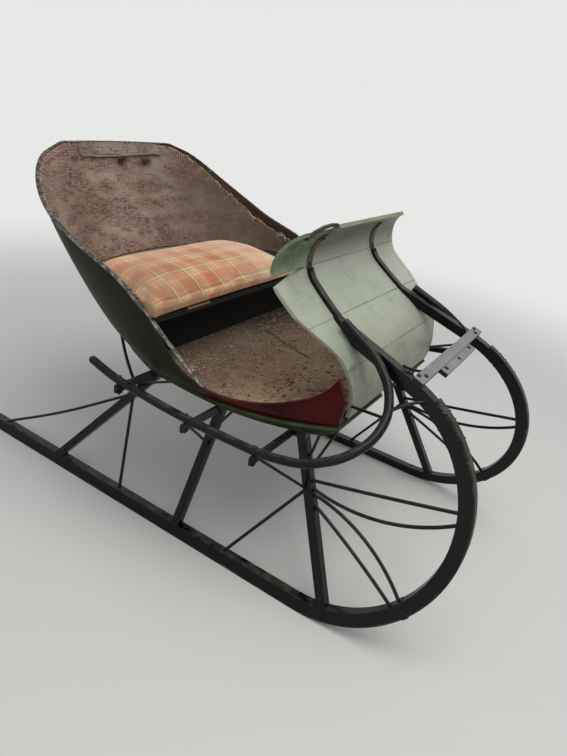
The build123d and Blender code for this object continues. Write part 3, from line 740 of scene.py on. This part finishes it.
def buildFringe(finish):
    # loose threads along the torn left edge of the lining
    rand = random.Random(5)
    paths = []
    while len(paths) < fringe["count"]:
        angle, scale = rand.uniform(fringe["startAngle"], fringe["endAngle"]), 1.0
        if rand.random() < frayedCorner["share"]:
            angle, scale = rand.uniform(frayedCorner["startAngle"], frayedCorner["endAngle"]), frayedCorner["short"]
        root = wallAt(angle, rimHeight(angle) - liningMargin(angle) + rand.uniform(-4, 3) * mm)
        if root is None:
            continue
        inward = inwardFrom(root)
        side = Vector((-inward.y, inward.x, 0))
        length = (fringe["longest"] * rand.random() ** 2 + fringe["shortest"]) * scale
        swing, rise, bend = rand.uniform(-1, 1), rand.uniform(-0.9, 0.9), rand.uniform(-0.6, 0.6)
        path = []
        for t in evenly(0, 1, fringe["steps"]):
            out = inward * (fringe["off"] + t * length * 0.35)
            point = root + out + side * (length * (swing * t + bend * t * t))
            point.z += length * (rise * t - 0.5 * t * t)
            path.append(point)
        paths.append(path)
    return dress(strands(paths, fringe["width"], "canvas_threads"), finish)


tufts = {"spots": ((-0.755, 0.0, 1.083), (-0.748, 0.118, 1.076), (-0.742, -0.235, 1.09)), "hairs": (85, 85, 17),
         "spread": 15 * mm, "longest": 30 * mm, "width": 0.8 * mm, "bulge": 10 * mm}


def buildTufts(finish):
    # horsehair padding that hangs out under the batten
    rand = random.Random(8)
    paths = []
    for spot, hairs in zip(tufts["spots"], tufts["hairs"]):
        for _ in range(hairs):
            root = Vector(spot) + Vector((0, rand.gauss(0, 1) * tufts["spread"], rand.uniform(0, 10) * mm))
            length = tufts["longest"] * rand.uniform(0.25, 1)
            swing, drop = rand.uniform(-0.45, 0.45), rand.uniform(0.4, 1.1)
            paths.append([root + Vector((fringe["off"] + tufts["bulge"] * math.sin(t * 2.6), length * swing * t * t,
                                         -length * drop * t)) for t in evenly(0, 1, fringe["steps"])])
    return dress(strands(paths, tufts["width"], "horsehair_tufts"), finish)


def buildTube(name, points, thick, rows):
    # soft roll of cloth along the given points
    last = len(points) - 1

    def place(i, j):
        along = (points[min(i + 1, last)] - points[max(i - 1, 0)]).normalized()
        across = along.cross(Vector((0, 0, 1))).normalized()
        up = across.cross(along)
        turn = 2 * math.pi * j / rows
        width = thick * (1 + 0.35 * noise.noise(points[i] * 60))
        return points[i] + (across * math.cos(turn) + up * math.sin(turn)) * width

    piece = gridPiece(name, last, rows, place)
    only(piece)
    editMesh((bpy.ops.mesh.remove_doubles, {"threshold": 0.02 * mm}), selectNone,
             (bpy.ops.mesh.select_non_manifold, {}), (bpy.ops.mesh.fill_holes, {"sides": 0}), selectAll, facesOut)
    bpy.ops.object.shade_smooth()
    return piece


tornHem = {"startAngle": 15.0, "endAngle": 91.0, "steps": 260, "thick": 1.5 * mm, "off": 3.5 * mm, "stray": 2.5}
rolledEdge = {"firstY": -0.20, "lastY": 0.205, "steps": 90, "height": 1.097, "sag": 5 * mm, "thick": 4.2 * mm,
              "off": 11 * mm, "stray": 2.5}


def buildHems(threadFinish, clothFinish):
    # pale frayed hem along the tear, and the rolled cloth edge under the batten
    points = []
    for angle in evenly(tornHem["startAngle"], tornHem["endAngle"], tornHem["steps"]):
        root = wallAt(angle, rimHeight(angle) - liningMargin(angle))
        stray = noise.noise(Vector((angle * 1.7, 0.3, 5.0))) * tornHem["stray"] * mm
        points.append(root + inwardFrom(root) * tornHem["off"] + Vector((0, 0, stray)))
    hem = dress(buildTube("torn_hem", points, tornHem["thick"], 5), threadFinish)
    backTree = treeOf("back_panel")
    points = []
    for i, y in enumerate(evenly(rolledEdge["firstY"], rolledEdge["lastY"], rolledEdge["steps"])):
        found = onSurface(backTree, (insideX, y, rolledEdge["height"]), (-1, 0, 0))
        sag = rolledEdge["sag"] * math.sin(math.pi * i / rolledEdge["steps"] * 1.5)
        sag += noise.noise(Vector((y * 22, 1, 2))) * rolledEdge["stray"] * mm
        points.append(Vector(found[0]) + Vector((rolledEdge["off"], 0, -sag)))
    roll = dress(buildTube("rolled_edge", points, rolledEdge["thick"], 8), clothFinish)
    return [hem, roll]


sillMoulding = {"low": 0.538, "high": 0.577, "reachAngle": 176.0, "columns": 420, "lowestHit": 0.547,
                "highestHit": 0.577, "rise": 10 * mm, "sunk": 0.8, "thinAt": 0.0, "fullAt": 0.3, "thinnest": 0.2,
                "thickness": 1.5 * mm,
                "profile": (0.0, 12.0, 16.0, 17.5, 17.5, 16.0, 11.0, 9.0, 9.4, 11.5, 12.5, 11.5, 8.0, 0.0)}


def buildSillMoulding(finish):
    # two beads round the outside of the tub, low on the sill
    profile, low, high = (sillMoulding[key] for key in ("profile", "low", "high"))
    rows = len(profile) - 1
    sillTree = treeOf(*panelNames, "toe_board")
    kept = [angle for angle in evenly(-sillMoulding["reachAngle"], sillMoulding["reachAngle"], sillMoulding["columns"])
            if wallAt(angle, sillMoulding["highestHit"], outside=True, tree=sillTree)]

    def place(i, j):
        height = low + (high - low) * j / rows
        level = min(max(height + sillMoulding["rise"], sillMoulding["lowestHit"]), sillMoulding["highestHit"])
        spot = wallAt(kept[i], level, outside=True, tree=sillTree)
        ahead = (spot.x - sillMoulding["thinAt"]) / (sillMoulding["fullAt"] - sillMoulding["thinAt"])
        growth = min(1.0, max(sillMoulding["thinnest"], ahead))
        edge = spot + outwardAt(kept[i]) * ((profile[j] * growth - sillMoulding["sunk"]) * mm)
        return Vector((edge.x, edge.y, height))

    piece = gridPiece("sill_moulding", len(kept) - 1, rows, place)
    addModifier(piece, "SOLIDIFY", thickness=sillMoulding["thickness"])
    applyModifiers(piece, smooth=True)
    return dress(piece, finish)


cushion = {"voxel": 6 * mm, "pressure": 4.0, "frames": 20, "most": 8 * mm, "edge": 42 * mm, "crown": 64 * mm,
           "peak": -0.45, "frontPower": 2.3, "backPower": 3.2, "rightPower": 7.0, "leftPower": 3.4, "leftThin": 12 * mm,
           "leftLift": 10 * mm, "lift": 1 * mm, "waistX": 0.03, "waistY": 0.012, "nearReach": 15 * mm,
           "backReach": 10 * mm, "soften": 0.850, "limit": 0.0155, "overhang": 9 * mm, "droop": 6 * mm,
           "droopTo": 50 * mm, "boardFront": -0.062, "foldFrom": 15 * mm, "foldOver": 30 * mm, "folds": 5.0,
           "creases": 2.6, "wallGap": 6 * mm, "wallFrom": -0.4, "rayFrom": -0.3}


def shapeCushion(piece, low, high):
    # highest towards the back and the right wall, low at the front edge and the left end
    middle, size, peak = (low + high) / 2, high - low, cushion["peak"]
    cloth = piece.data.attributes.new("clothPlace", "FLOAT_VECTOR", "POINT")
    for index, vertex in enumerate(piece.data.vertices):
        point, normal = vertex.co.copy(), vertex.normal
        drop = high.z - point.z
        cloth.data[index].vector = (point.x + drop * normal.x, point.y + drop * normal.y, 0)
        u, v = (point.x - middle.x) / size.x * 2, (point.y - middle.y) / size.y * 2
        t = (point.z - low.z) / size.z
        span, power = (1 - peak, cushion["frontPower"]) if u > peak else (1 + peak, cushion["backPower"])
        crown = 1 - min(1.0, abs(u - peak) / span) ** power
        crown *= 1 - min(1.0, abs(v)) ** (cushion["rightPower"] if v < 0 else cushion["leftPower"])
        aft, ahead, right, left = (max(0.0, share) for share in (-u, u, -v, v))
        thick = cushion["edge"] + cushion["crown"] * crown - cushion["leftThin"] * left ** 3
        x = middle.x + (point.x - middle.x) * (1 - cushion["waistX"] * (1 - v * v)) - cushion["backReach"] * aft ** 2
        x += cushion["overhang"] * ahead ** 3
        y = middle.y + (point.y - middle.y) * (1 - cushion["waistY"] * (1 - u * u)) - cushion["nearReach"] * right ** 2
        vertex.co = (x, y, low.z + cushion["lift"] + cushion["leftLift"] * left ** 4 + t * thick)


def fillCushion(piece, floor):
    # a short pressure simulation rounds the cover, held near the given shape
    starts = [vertex.co.copy() for vertex in piece.data.vertices]
    softness = piece.modifiers.new("filling", "CLOTH")
    softness.settings.use_pressure = True
    softness.settings.uniform_pressure_force = cushion["pressure"]
    softness.settings.effector_weights.gravity = 0
    softness.point_cache.frame_start = 1
    softness.point_cache.frame_end = cushion["frames"]
    scene = bpy.context.scene
    for step in range(1, cushion["frames"] + 1):
        scene.frame_set(step)
    applyModifiers(piece)
    scene.frame_set(1)
    for start, vertex in zip(starts, piece.data.vertices):
        move = vertex.co - start
        if move.length > cushion["most"]:
            vertex.co = start + move.normalized() * cushion["most"]
        vertex.co.z = max(vertex.co.z, floor + 0.5 * mm)


def foldCushion(piece, floor):
    # slack folds run in from the ends; the top stays under its limit and the right end against the wall
    wall = treeOf("side_panel_right")
    soften, limit = cushion["soften"], cushion["limit"]
    for vertex in piece.data.vertices:
        spot = vertex.co
        share = clamped((spot.z - floor - cushion["foldFrom"]) / cushion["foldOver"])
        slack = noise.noise(Vector((spot.x * 9, spot.y * 5, 1.7))) * cushion["folds"]
        slack += noise.noise(Vector((spot.x * 16 + spot.y * 9, spot.y * 14, 6.1))) * cushion["creases"]
        spot.z += slack * share * mm
        if spot.z > soften:
            spot.z = soften + limit * (1 - math.exp((soften - spot.z) / limit))
        if spot.x > cushion["boardFront"]:
            past = min(1.0, (spot.x - cushion["boardFront"]) / (10 * mm))
            spot.z -= cushion["droop"] * past * max(0.0, 1 - (spot.z - floor) / cushion["droopTo"])
        if spot.y < cushion["wallFrom"]:
            hit = wall.ray_cast(Vector((spot.x, cushion["rayFrom"], spot.z)), Vector((0, -1, 0)))[0]
            if hit is not None:
                spot.y = max(spot.y, hit.y + cushion["wallGap"])


def buildCushion(finish):
    low, high = (Vector(corner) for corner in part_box("cushion"))
    piece = copyOf(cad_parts["cushion"])
    for key in list(piece.keys()):
        del piece[key]
    piece.name = "plaid_cushion"
    piece.parent = None
    only(piece)
    editMesh((bpy.ops.mesh.remove_doubles, {"threshold": 0.1 * mm}))
    addModifier(piece, "REMESH", mode="VOXEL", voxel_size=cushion["voxel"])
    applyModifiers(piece)
    shapeCushion(piece, low, high)
    fillCushion(piece, low.z)
    foldCushion(piece, low.z)
    addModifier(piece, "SUBSURF", levels=1, render_levels=1)
    applyModifiers(piece, smooth=True)
    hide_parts("cushion")
    dress(piece, finish)
    return piece


def boltHead(size, segments=16, rings=8):
    # carriage bolt or tack: a low dome
    deselect()
    bpy.ops.mesh.primitive_uv_sphere_add(segments=segments, ring_count=rings, radius=size)
    cut = {"plane_co": (0, 0, -size * 0.1), "plane_no": (0, 0, 1), "clear_inner": True, "use_fill": True}
    editMesh((bpy.ops.mesh.bisect, cut), selectAll, resized(1, 1, 0.45))
    bpy.ops.object.shade_smooth()
    return bpy.context.object


def squareNut(size, thickness):
    # bevelled square with the bolt's end standing out of it
    deselect()
    bpy.ops.mesh.primitive_cube_add(size=1)
    piece = bpy.context.object
    piece.scale = (size, size, thickness)
    bpy.ops.object.transform_apply(scale=True)
    editMesh((bpy.ops.mesh.bevel, {"offset": thickness * 0.18, "segments": 2}))
    deselect()
    bpy.ops.mesh.primitive_cylinder_add(vertices=14, radius=size * 0.26, depth=thickness * 0.8,
                                        location=(0, 0, thickness * 0.7))
    return joined([piece, bpy.context.object], "nut")


def placedCopies(pattern, spots, name):
    # copies of the pattern with its +Z along each spot's normal, joined
    copies = []
    for number, (place, normal) in enumerate(spots):
        turn = Vector(normal).to_track_quat("Z", "X").to_matrix().to_4x4()
        spin = Matrix.Rotation(number * 0.7, 4, "Z")
        copies.append(copyOf(pattern, Matrix.Translation(Vector(place)) @ turn @ spin))
    bpy.data.objects.remove(pattern)
    return joined(copies, name)


gearLean = {"rise": 0.282, "halfTrack": 0.5}


def gearPoint(x, height, inset=0.0):
    # point on the right runner's leaning outer face, inset towards the middle
    return Vector((x, -gearLean["halfTrack"] + gearLean["rise"] * height + inset, height))


def bothSides(spots):
    return spots + [((p[0], -p[1], p[2]), (n[0], -n[1], n[2])) for p, n in spots]


bolts = {"size": 7 * mm, "kneeShares": (0.06, 0.16, 0.80, 0.93), "kneeSamples": 99, "dashSize": 6 * mm, "dashX": 1.2,
         "dash": ((-0.262, 0.866), (-0.247, 0.846), (-0.226, 0.957), (-0.222, 0.972), (-0.193, 1.046)),
         "bar": ((0.668, -0.27, 1.2), (0.682, -0.245, 1.2), (0.70, -0.115, 1.2))}
battenNails = {"ys": (-0.178, -0.11, -0.045, 0.03, 0.096, 0.165), "height": 1.098, "size": 2.6 * mm}
tackRow = {"firstY": -0.172, "lastY": -0.02, "height": 1.0855, "count": 11, "size": 2.4 * mm, "proud": 4 * mm}


def buildBolts(finish, nailFinish):
    outward = Vector((0, -1, gearLean["rise"])).normalized()
    spots = []
    for name in [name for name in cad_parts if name.startswith("knee_") and name.endswith("_right")]:
        low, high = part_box(name)
        tree = treeOf(name)
        for share in bolts["kneeShares"]:
            height = low[2] + (high[2] - low[2]) * share
            hits = hitsOn(tree, [gearPoint(x, height) + Vector((0, -0.2, 0))
                                 for x in evenly(low[0], high[0], bolts["kneeSamples"])], (0, 1, 0))
            if hits:
                spots.append((hits[len(hits) // 2][0], tuple(outward)))
    pieces = [placedCopies(boltHead(bolts["size"]), bothSides(spots), "knee_bolts")]
    dashTree = treeOf("dash_strap_right", "dash_bar_right", "side_rail_right")
    spots = hitsOn(dashTree, [(bolts["dashX"], *place) for place in bolts["dash"]], (-1, 0, 0))
    pieces.append(placedCopies(boltHead(bolts["dashSize"]), bothSides(spots), "dash_bolts"))
    spots = hitsOn(treeOf("runner_right", "draw_bar", "draw_plate"), bolts["bar"], (0, 0, -1))
    pieces.append(placedCopies(boltHead(bolts["size"]), bothSides(spots), "draw_bar_bolts"))
    backTree = treeOf("back_batten", "back_panel")
    spots = hitsOn(backTree, [(insideX, y, battenNails["height"]) for y in battenNails["ys"]], (-1, 0, 0.04))
    nails = placedCopies(boltHead(battenNails["size"], 8, 4), spots, "batten_nails")
    ys = evenly(tackRow["firstY"], tackRow["lastY"], tackRow["count"] - 1)
    spots = hitsOn(backTree, [(insideX, y, tackRow["height"]) for y in ys], (-1, 0, 0))
    spots = [(tuple(Vector(hit) + Vector(normal) * tackRow["proud"]), normal) for hit, normal in spots]
    tacks = placedCopies(boltHead(tackRow["size"], 8, 4), spots, "lining_tacks")
    dress(nails, nailFinish)
    dress(tacks, nailFinish)
    return [dress(piece, finish) for piece in pieces]


curl = {"centreX": 0.534, "radius": 0.411, "depth": 43 * mm, "width": 30 * mm}
curlBands = {"angles": (54.0, 50.5, 42.8, -37.2), "thick": 5 * mm, "proud": 1.6 * mm, "flange": 24 * mm,
             "rounding": 1.2 * mm}


def curlPoint(angle, radius):
    # middle of the right runner at an angle above level from the curl's centre
    turn = math.radians(angle)
    height = (curl["radius"] + radius * math.sin(turn)) / math.sqrt(1 + gearLean["rise"] ** 2)
    return gearPoint(curl["centreX"] + radius * math.cos(turn), height, curl["width"] / 2)


def buildCurlBands(finish):
    # iron clips round the curls where the shoe ends, and the lugs that take the front braces
    pieces = []
    grow = 2 * curlBands["proud"]
    for angle in curlBands["angles"]:
        thick = curlBands["flange"] if angle < 0 else curlBands["thick"]
        deselect()
        bpy.ops.mesh.primitive_cube_add(size=1)
        band = bpy.context.object
        editMesh(resized(curl["depth"] + grow, curl["width"] + grow, thick),
                 (bpy.ops.mesh.bevel, {"offset": curlBands["rounding"], "segments": 2}))
        centre = curlPoint(angle, curl["radius"] - curl["depth"] / 2)
        radial = (curlPoint(angle, curl["radius"]) - curlPoint(angle, curl["radius"] - 0.1)).normalized()
        ahead = Vector((0, 1, 0)).cross(radial).normalized()
        turn = Matrix((radial, Vector((0, 1, 0)), -ahead)).transposed().to_4x4()
        for side in (1, -1):
            pieces.append(copyOf(band, Matrix.Diagonal((1, side, 1, 1)) @ Matrix.Translation(centre) @ turn))
            only(pieces[-1])
            editMesh(facesOut)
        bpy.data.objects.remove(band)
    return dress(joined(pieces, "curl_bands"), finish)


railKnobs = {"xs": (-0.141, 0.127, 0.371), "y": -0.571, "above": 0.8, "size": 15 * mm, "thick": 9 * mm,
             "below": 51 * mm}


def buildRailKnobs(finish):
    starts = [(x, railKnobs["y"], railKnobs["above"]) for x in railKnobs["xs"]]
    hits = hitsOn(treeOf("side_rail_right"), starts, (0, 0, -1))
    spots = [(hit, (0, 0, 1)) for hit, normal in hits]
    heads = placedCopies(boltHead(bolts["size"]), bothSides(spots), "rail_bolts")
    low = [((x, y, z - railKnobs["below"]), (0, 0, -1)) for (x, y, z), normal in hits]
    nuts = placedCopies(squareNut(railKnobs["size"], railKnobs["thick"]), bothSides(low), "rail_nuts")
    return [dress(piece, finish) for piece in (heads, nuts)]


lipRemnant = {"points": ((0.283, -0.318, 1.058), (0.289, -0.285, 1.077), (0.294, -0.245, 1.088), (0.297, -0.205, 1.092),
                         (0.299, -0.173, 1.090)), "width": 9 * mm, "tip": 4 * mm, "growth": 2.4, "rounding": 1.5 * mm}


def buildLipRemnant(finish):
    # stub of the broken cap strip, extruded along the top of the dash from its splintered end
    points = [Vector(point) for point in lipRemnant["points"]]
    deselect()
    bpy.ops.mesh.primitive_plane_add(size=1, location=points[0], rotation=(math.pi / 2, 0, 0))
    piece = bpy.context.object
    bpy.ops.object.transform_apply(location=False, rotation=True, scale=False)
    moves = [extruded(after - before) for before, after in zip(points, points[1:])]
    editMesh(resized(lipRemnant["width"], 1, lipRemnant["tip"]), moves[0], resized(1, 1, lipRemnant["growth"]),
             *moves[1:], selectAll, facesOut)
    addModifier(piece, "BEVEL", width=lipRemnant["rounding"], segments=2)
    applyModifiers(piece)
    piece.name = "lip_remnant"
    bpy.ops.object.transform_apply(location=True, rotation=True, scale=True)
    return dress(piece, finish)


debris = {"crumbs": 1500, "straws": 210, "seed": 11, "smallest": 1.6 * mm, "largest": 7.5 * mm, "rise": 2.4 * mm,
          "lowX": -0.13, "highX": 0.46, "reachY": 0.46, "above": 0.7, "frontX": 0.18, "sideY": 0.28,
          "everywhere": 0.35, "frontShare": 0.45, "sideShare": 0.3, "clearX": 0.012, "clearY": 1.04}
straw = {"sides": 5, "radius": 1.3 * mm, "length": 0.5, "bend": (3 * mm, 1.5 * mm, 0.25), "bends": 2, "taper": 0.75,
         "shortest": 8, "longest": 44, "lowX": -0.1, "highX": 0.43}


def floorSpot(rand, floorTree, lowX=debris["lowX"], highX=debris["highX"]):
    # a place on the floor, likelier at the front and along the sides where dirt gathers
    down = Vector((0, 0, -1))
    while True:
        x, y = rand.uniform(lowX, highX), rand.uniform(-debris["reachY"], debris["reachY"])
        thick = (noise.noise(Vector((x * 6, y * 6, 0))) + debris["frontShare"] * (x > debris["frontX"])
                 + debris["sideShare"] * (abs(y) > debris["sideY"]))
        hit = floorTree.ray_cast(Vector((x, y, debris["above"])), down)[0]
        edge = floorTree.ray_cast(Vector((x + debris["clearX"], y * debris["clearY"], debris["above"])), down)[0]
        if hit is not None and edge is not None and rand.random() < debris["everywhere"] + thick:
            return hit


def buildDebris(crumbFinish, strawFinish):
    rand = random.Random(debris["seed"])
    floorTree = treeOf("floor")
    deselect()
    bpy.ops.mesh.primitive_ico_sphere_add(subdivisions=1, radius=1.0)
    pattern = bpy.context.object
    editMesh((bpy.ops.transform.vertex_random, {"offset": 0.3, "seed": 4}))
    crumbs = []
    for _ in range(debris["crumbs"]):
        spot = floorSpot(rand, floorTree)
        size = debris["smallest"] + (debris["largest"] - debris["smallest"]) * rand.random() ** 4
        shape = Matrix.Diagonal((size * rand.uniform(0.8, 1.8), size, size * rand.uniform(0.35, 0.8), 1))
        turn = Matrix.Rotation(rand.uniform(0, 6.28), 4, "Z")
        crumbs.append(copyOf(pattern, Matrix.Translation(spot + Vector((0, 0, size * 0.2))) @ turn @ shape))
    bpy.data.objects.remove(pattern)
    crumbs = joined(crumbs, "floor_crumbs")
    deselect()
    bpy.ops.mesh.primitive_cylinder_add(vertices=straw["sides"], radius=straw["radius"], depth=straw["length"])
    pattern = bpy.context.object
    # a straw is drawn out from its end cap into a thinner, crooked tip
    editMesh(selectNone)
    for face in pattern.data.polygons:
        face.select = face.normal.z > 0.9
    bpy.ops.object.mode_set(mode="EDIT")
    bpy.ops.mesh.select_mode(type="FACE")
    for _ in range(straw["bends"]):
        bpy.ops.mesh.extrude_region_move(TRANSFORM_OT_translate={"value": straw["bend"]})
        bpy.ops.transform.resize(value=(straw["taper"], straw["taper"], 1))
    bpy.ops.object.mode_set(mode="OBJECT")
    straws = []
    for _ in range(debris["straws"]):
        spot = floorSpot(rand, floorTree, straw["lowX"], straw["highX"])
        length = rand.uniform(straw["shortest"], straw["longest"]) * mm
        turn = Matrix.Rotation(rand.uniform(0, 3.14), 4, "Z") @ Matrix.Rotation(1.5 + rand.uniform(0, 0.1), 4, "X")
        place = Matrix.Translation(spot + Vector((0, 0, debris["rise"])))
        straws.append(copyOf(pattern, place @ turn @ Matrix.Diagonal((1, 1, length, 1))))
    bpy.data.objects.remove(pattern)
    straws = joined(straws, "floor_straws")
    dress(crumbs, crumbFinish)
    dress(straws, strawFinish)


def seenRays(tree):
    # 1 on the rays that show the backdrop: from the camera, and by way of gloss and clear things
    path = addNode(tree, "LightPath").outputs
    seen = path["Is Camera Ray"]
    for kind in ("Is Glossy Ray", "Is Transmission Ray"):
        seen = addNode(tree, "Math", {0: seen, 1: path[kind]}, operation="MAXIMUM")
    return seen


def buildStage():
    deselect()
    bpy.ops.mesh.primitive_circle_add(vertices=studio["floorSides"], radius=studio["floorRadius"], fill_type="NGON",
                                      location=(0, 0, 0))
    floor = bpy.context.object
    floor.name = "studio_floor"
    material = bpy.data.materials.new("studioFloor")
    material.use_nodes = True
    tree = material.node_tree
    shader = tree.nodes["Principled BSDF"]
    shader.inputs["Base Color"].default_value = linear(studio["floorColour"])
    shader.inputs["Roughness"].default_value = studio["floorRough"]
    # far from the sleigh the floor shows the backdrop's own colour
    distance = addNode(tree, "VectorMath", {0: addNode(tree, "TexCoord").outputs["Object"]}, operation="LENGTH")
    away = addNode(tree, "MapRange", {"Value": distance.outputs["Value"], "From Min": studio["fadeStart"],
                                      "From Max": studio["fadeEnd"]}, interpolation_type="SMOOTHSTEP")
    seen = addNode(tree, "Math", {0: away, 1: seenRays(tree)}, operation="MULTIPLY")
    glow = addNode(tree, "Emission", {"Color": studio["backColour"], "Strength": 1.0})
    surface = addNode(tree, "MixShader", {0: seen, 1: shader, 2: glow})
    tree.links.new(surface.outputs[0], tree.nodes["Material Output"].inputs["Surface"])
    floor.data.materials.append(material)
    world = bpy.data.worlds.new("studio")
    bpy.context.scene.world = world
    world.use_nodes = True
    tree = world.node_tree
    soft = tree.nodes["Background"]
    soft.inputs["Color"].default_value = linear(studio["worldColour"])
    soft.inputs["Strength"].default_value = studio["worldStrength"]
    bright = addNode(tree, "Background", {"Color": studio["backColour"], "Strength": 1.0})
    seen = addNode(tree, "MixShader", {0: seenRays(tree), 1: soft, 2: bright})
    tree.links.new(seen.outputs[0], tree.nodes["World Output"].inputs["Surface"])
    for name in ("key", "fill"):
        addLamp(**lamps[name])


# the last fitting start of a node's name gives its finish
nodeFinish = {
    "gear": ("runner", "knee", "beam", "side_rail"), "bar": ("draw_bar", "draw_plate"), "shoe": ("shoe",),
    "iron": ("rail_arms", "arm_stays", "rear_braces", "front_braces", "body_stays", "curl_iron", "toe_iron", "dash_bar",
             "corner_irons"),
    "rust": ("dash_strap",), "olive": ("side_panel", "back_panel"), "sage": ("dash_board",),
    "red": ("low_side", "toe_board"), "floor": ("floor",), "wood": ("floor_bearers",), "seat": ("seat",),
    "void": ("seat_riser", "seat_cleats"), "batten": ("back_batten",), "lip": ("dash_lip",),
}


def dressNodes(finishes):
    for name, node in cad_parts.items():
        fitting = [finish for finish, starts in nodeFinish.items() if name.startswith(starts)]
        if fitting:
            for slot in node.material_slots:
                slot.material = finishes[fitting[-1]]


addCamera()
buildStage()
print("studio ready")
finishes = {
    "gear": blackCoachPaint("blackPaintOnAsh", "#0b0a0a", "#494640", 0.6),
    "iron": blackCoachPaint("blackPaintOnIron", "#0d0e0f", "#524f4a", 0.55),
    "bar": blackBarPaintWithPaintedHighlight(),
    "sage": dashEnamel(),
    "olive": panelPaint("olivePaintOnPoplar", "#1a1c08", "#131505", "#302e1a", "#282914", "#46382e", 0.45),
    "red": panelPaint("redPaintOnPoplar", "#470a05", "#2b0503", "#4a1b10", "#40140d", "#3d291e", 0.28),
    "moulding": panelPaint("greenMoulding", "#232e17", "#171f0e", "#4f5b38", "#4f5b3a"),
    "canvas": liningCanvas(),
    "thread": plainGrit("looseCottonThread", "#cdb593", "#9c7a56", "#dccaad", 30),
    "hair": plainGrit("horsehair", "#4a382b", "#2e221a", "#6b5441", 12),
    "floor": dirtyFloorAndPaintedLight(),
    "wood": dirtyBoards("barePineBearers", "#7d6650", "#5a4736", "#655444"),
    "seat": seatPine(),
    "void": darkVoidPine(),
    "batten": dirtyBoards("greyBatten", "#a08c7a", "#7a6757", "#a8927f"),
    "lip": panelPaint("chalkyLipPaint", "#7f8269", "#70745a", "#a09f8a", "#90917a"),
    "darkLip": panelPaint("tarredLipStub", "#3a3a2c", "#2b2b22", "#6a6a52", "#55553f"),
    "rust": rustyIron(),
    "shoe": wornShoeSteel(),
    "rim": wornRim(),
    "plaid": plaidCotton(),
    "grit": plainGrit("soilCrumbs", "#a88d70", "#4f3c2d", "#7d4a32", 9),
    "straw": plainGrit("dryStraw", "#d6c19c", "#8a6f50", "#a06a45", 30),
}
dressNodes(finishes)
print("finishes ready")
buildRimBinding(finishes["rim"], finishes["iron"])
canvas, canvasFlat, canvasArea = buildLining(finishes["canvas"])
threads = buildFringe(finishes["thread"])
hems = buildHems(finishes["thread"], finishes["canvas"])
hair = buildTufts(finishes["hair"])
buildSillMoulding(finishes["moulding"])
print("tub dressed")
buildCushion(finishes["plaid"])
print("cushion filled")
buildBolts(finishes["iron"], finishes["rust"])
buildCurlBands(finishes["iron"])
buildRailKnobs(finishes["iron"])
buildLipRemnant(finishes["darkLip"])
buildDebris(finishes["grit"], finishes["straw"])
print("small pieces placed")

bpy.context.scene.view_settings.view_transform = "Standard"
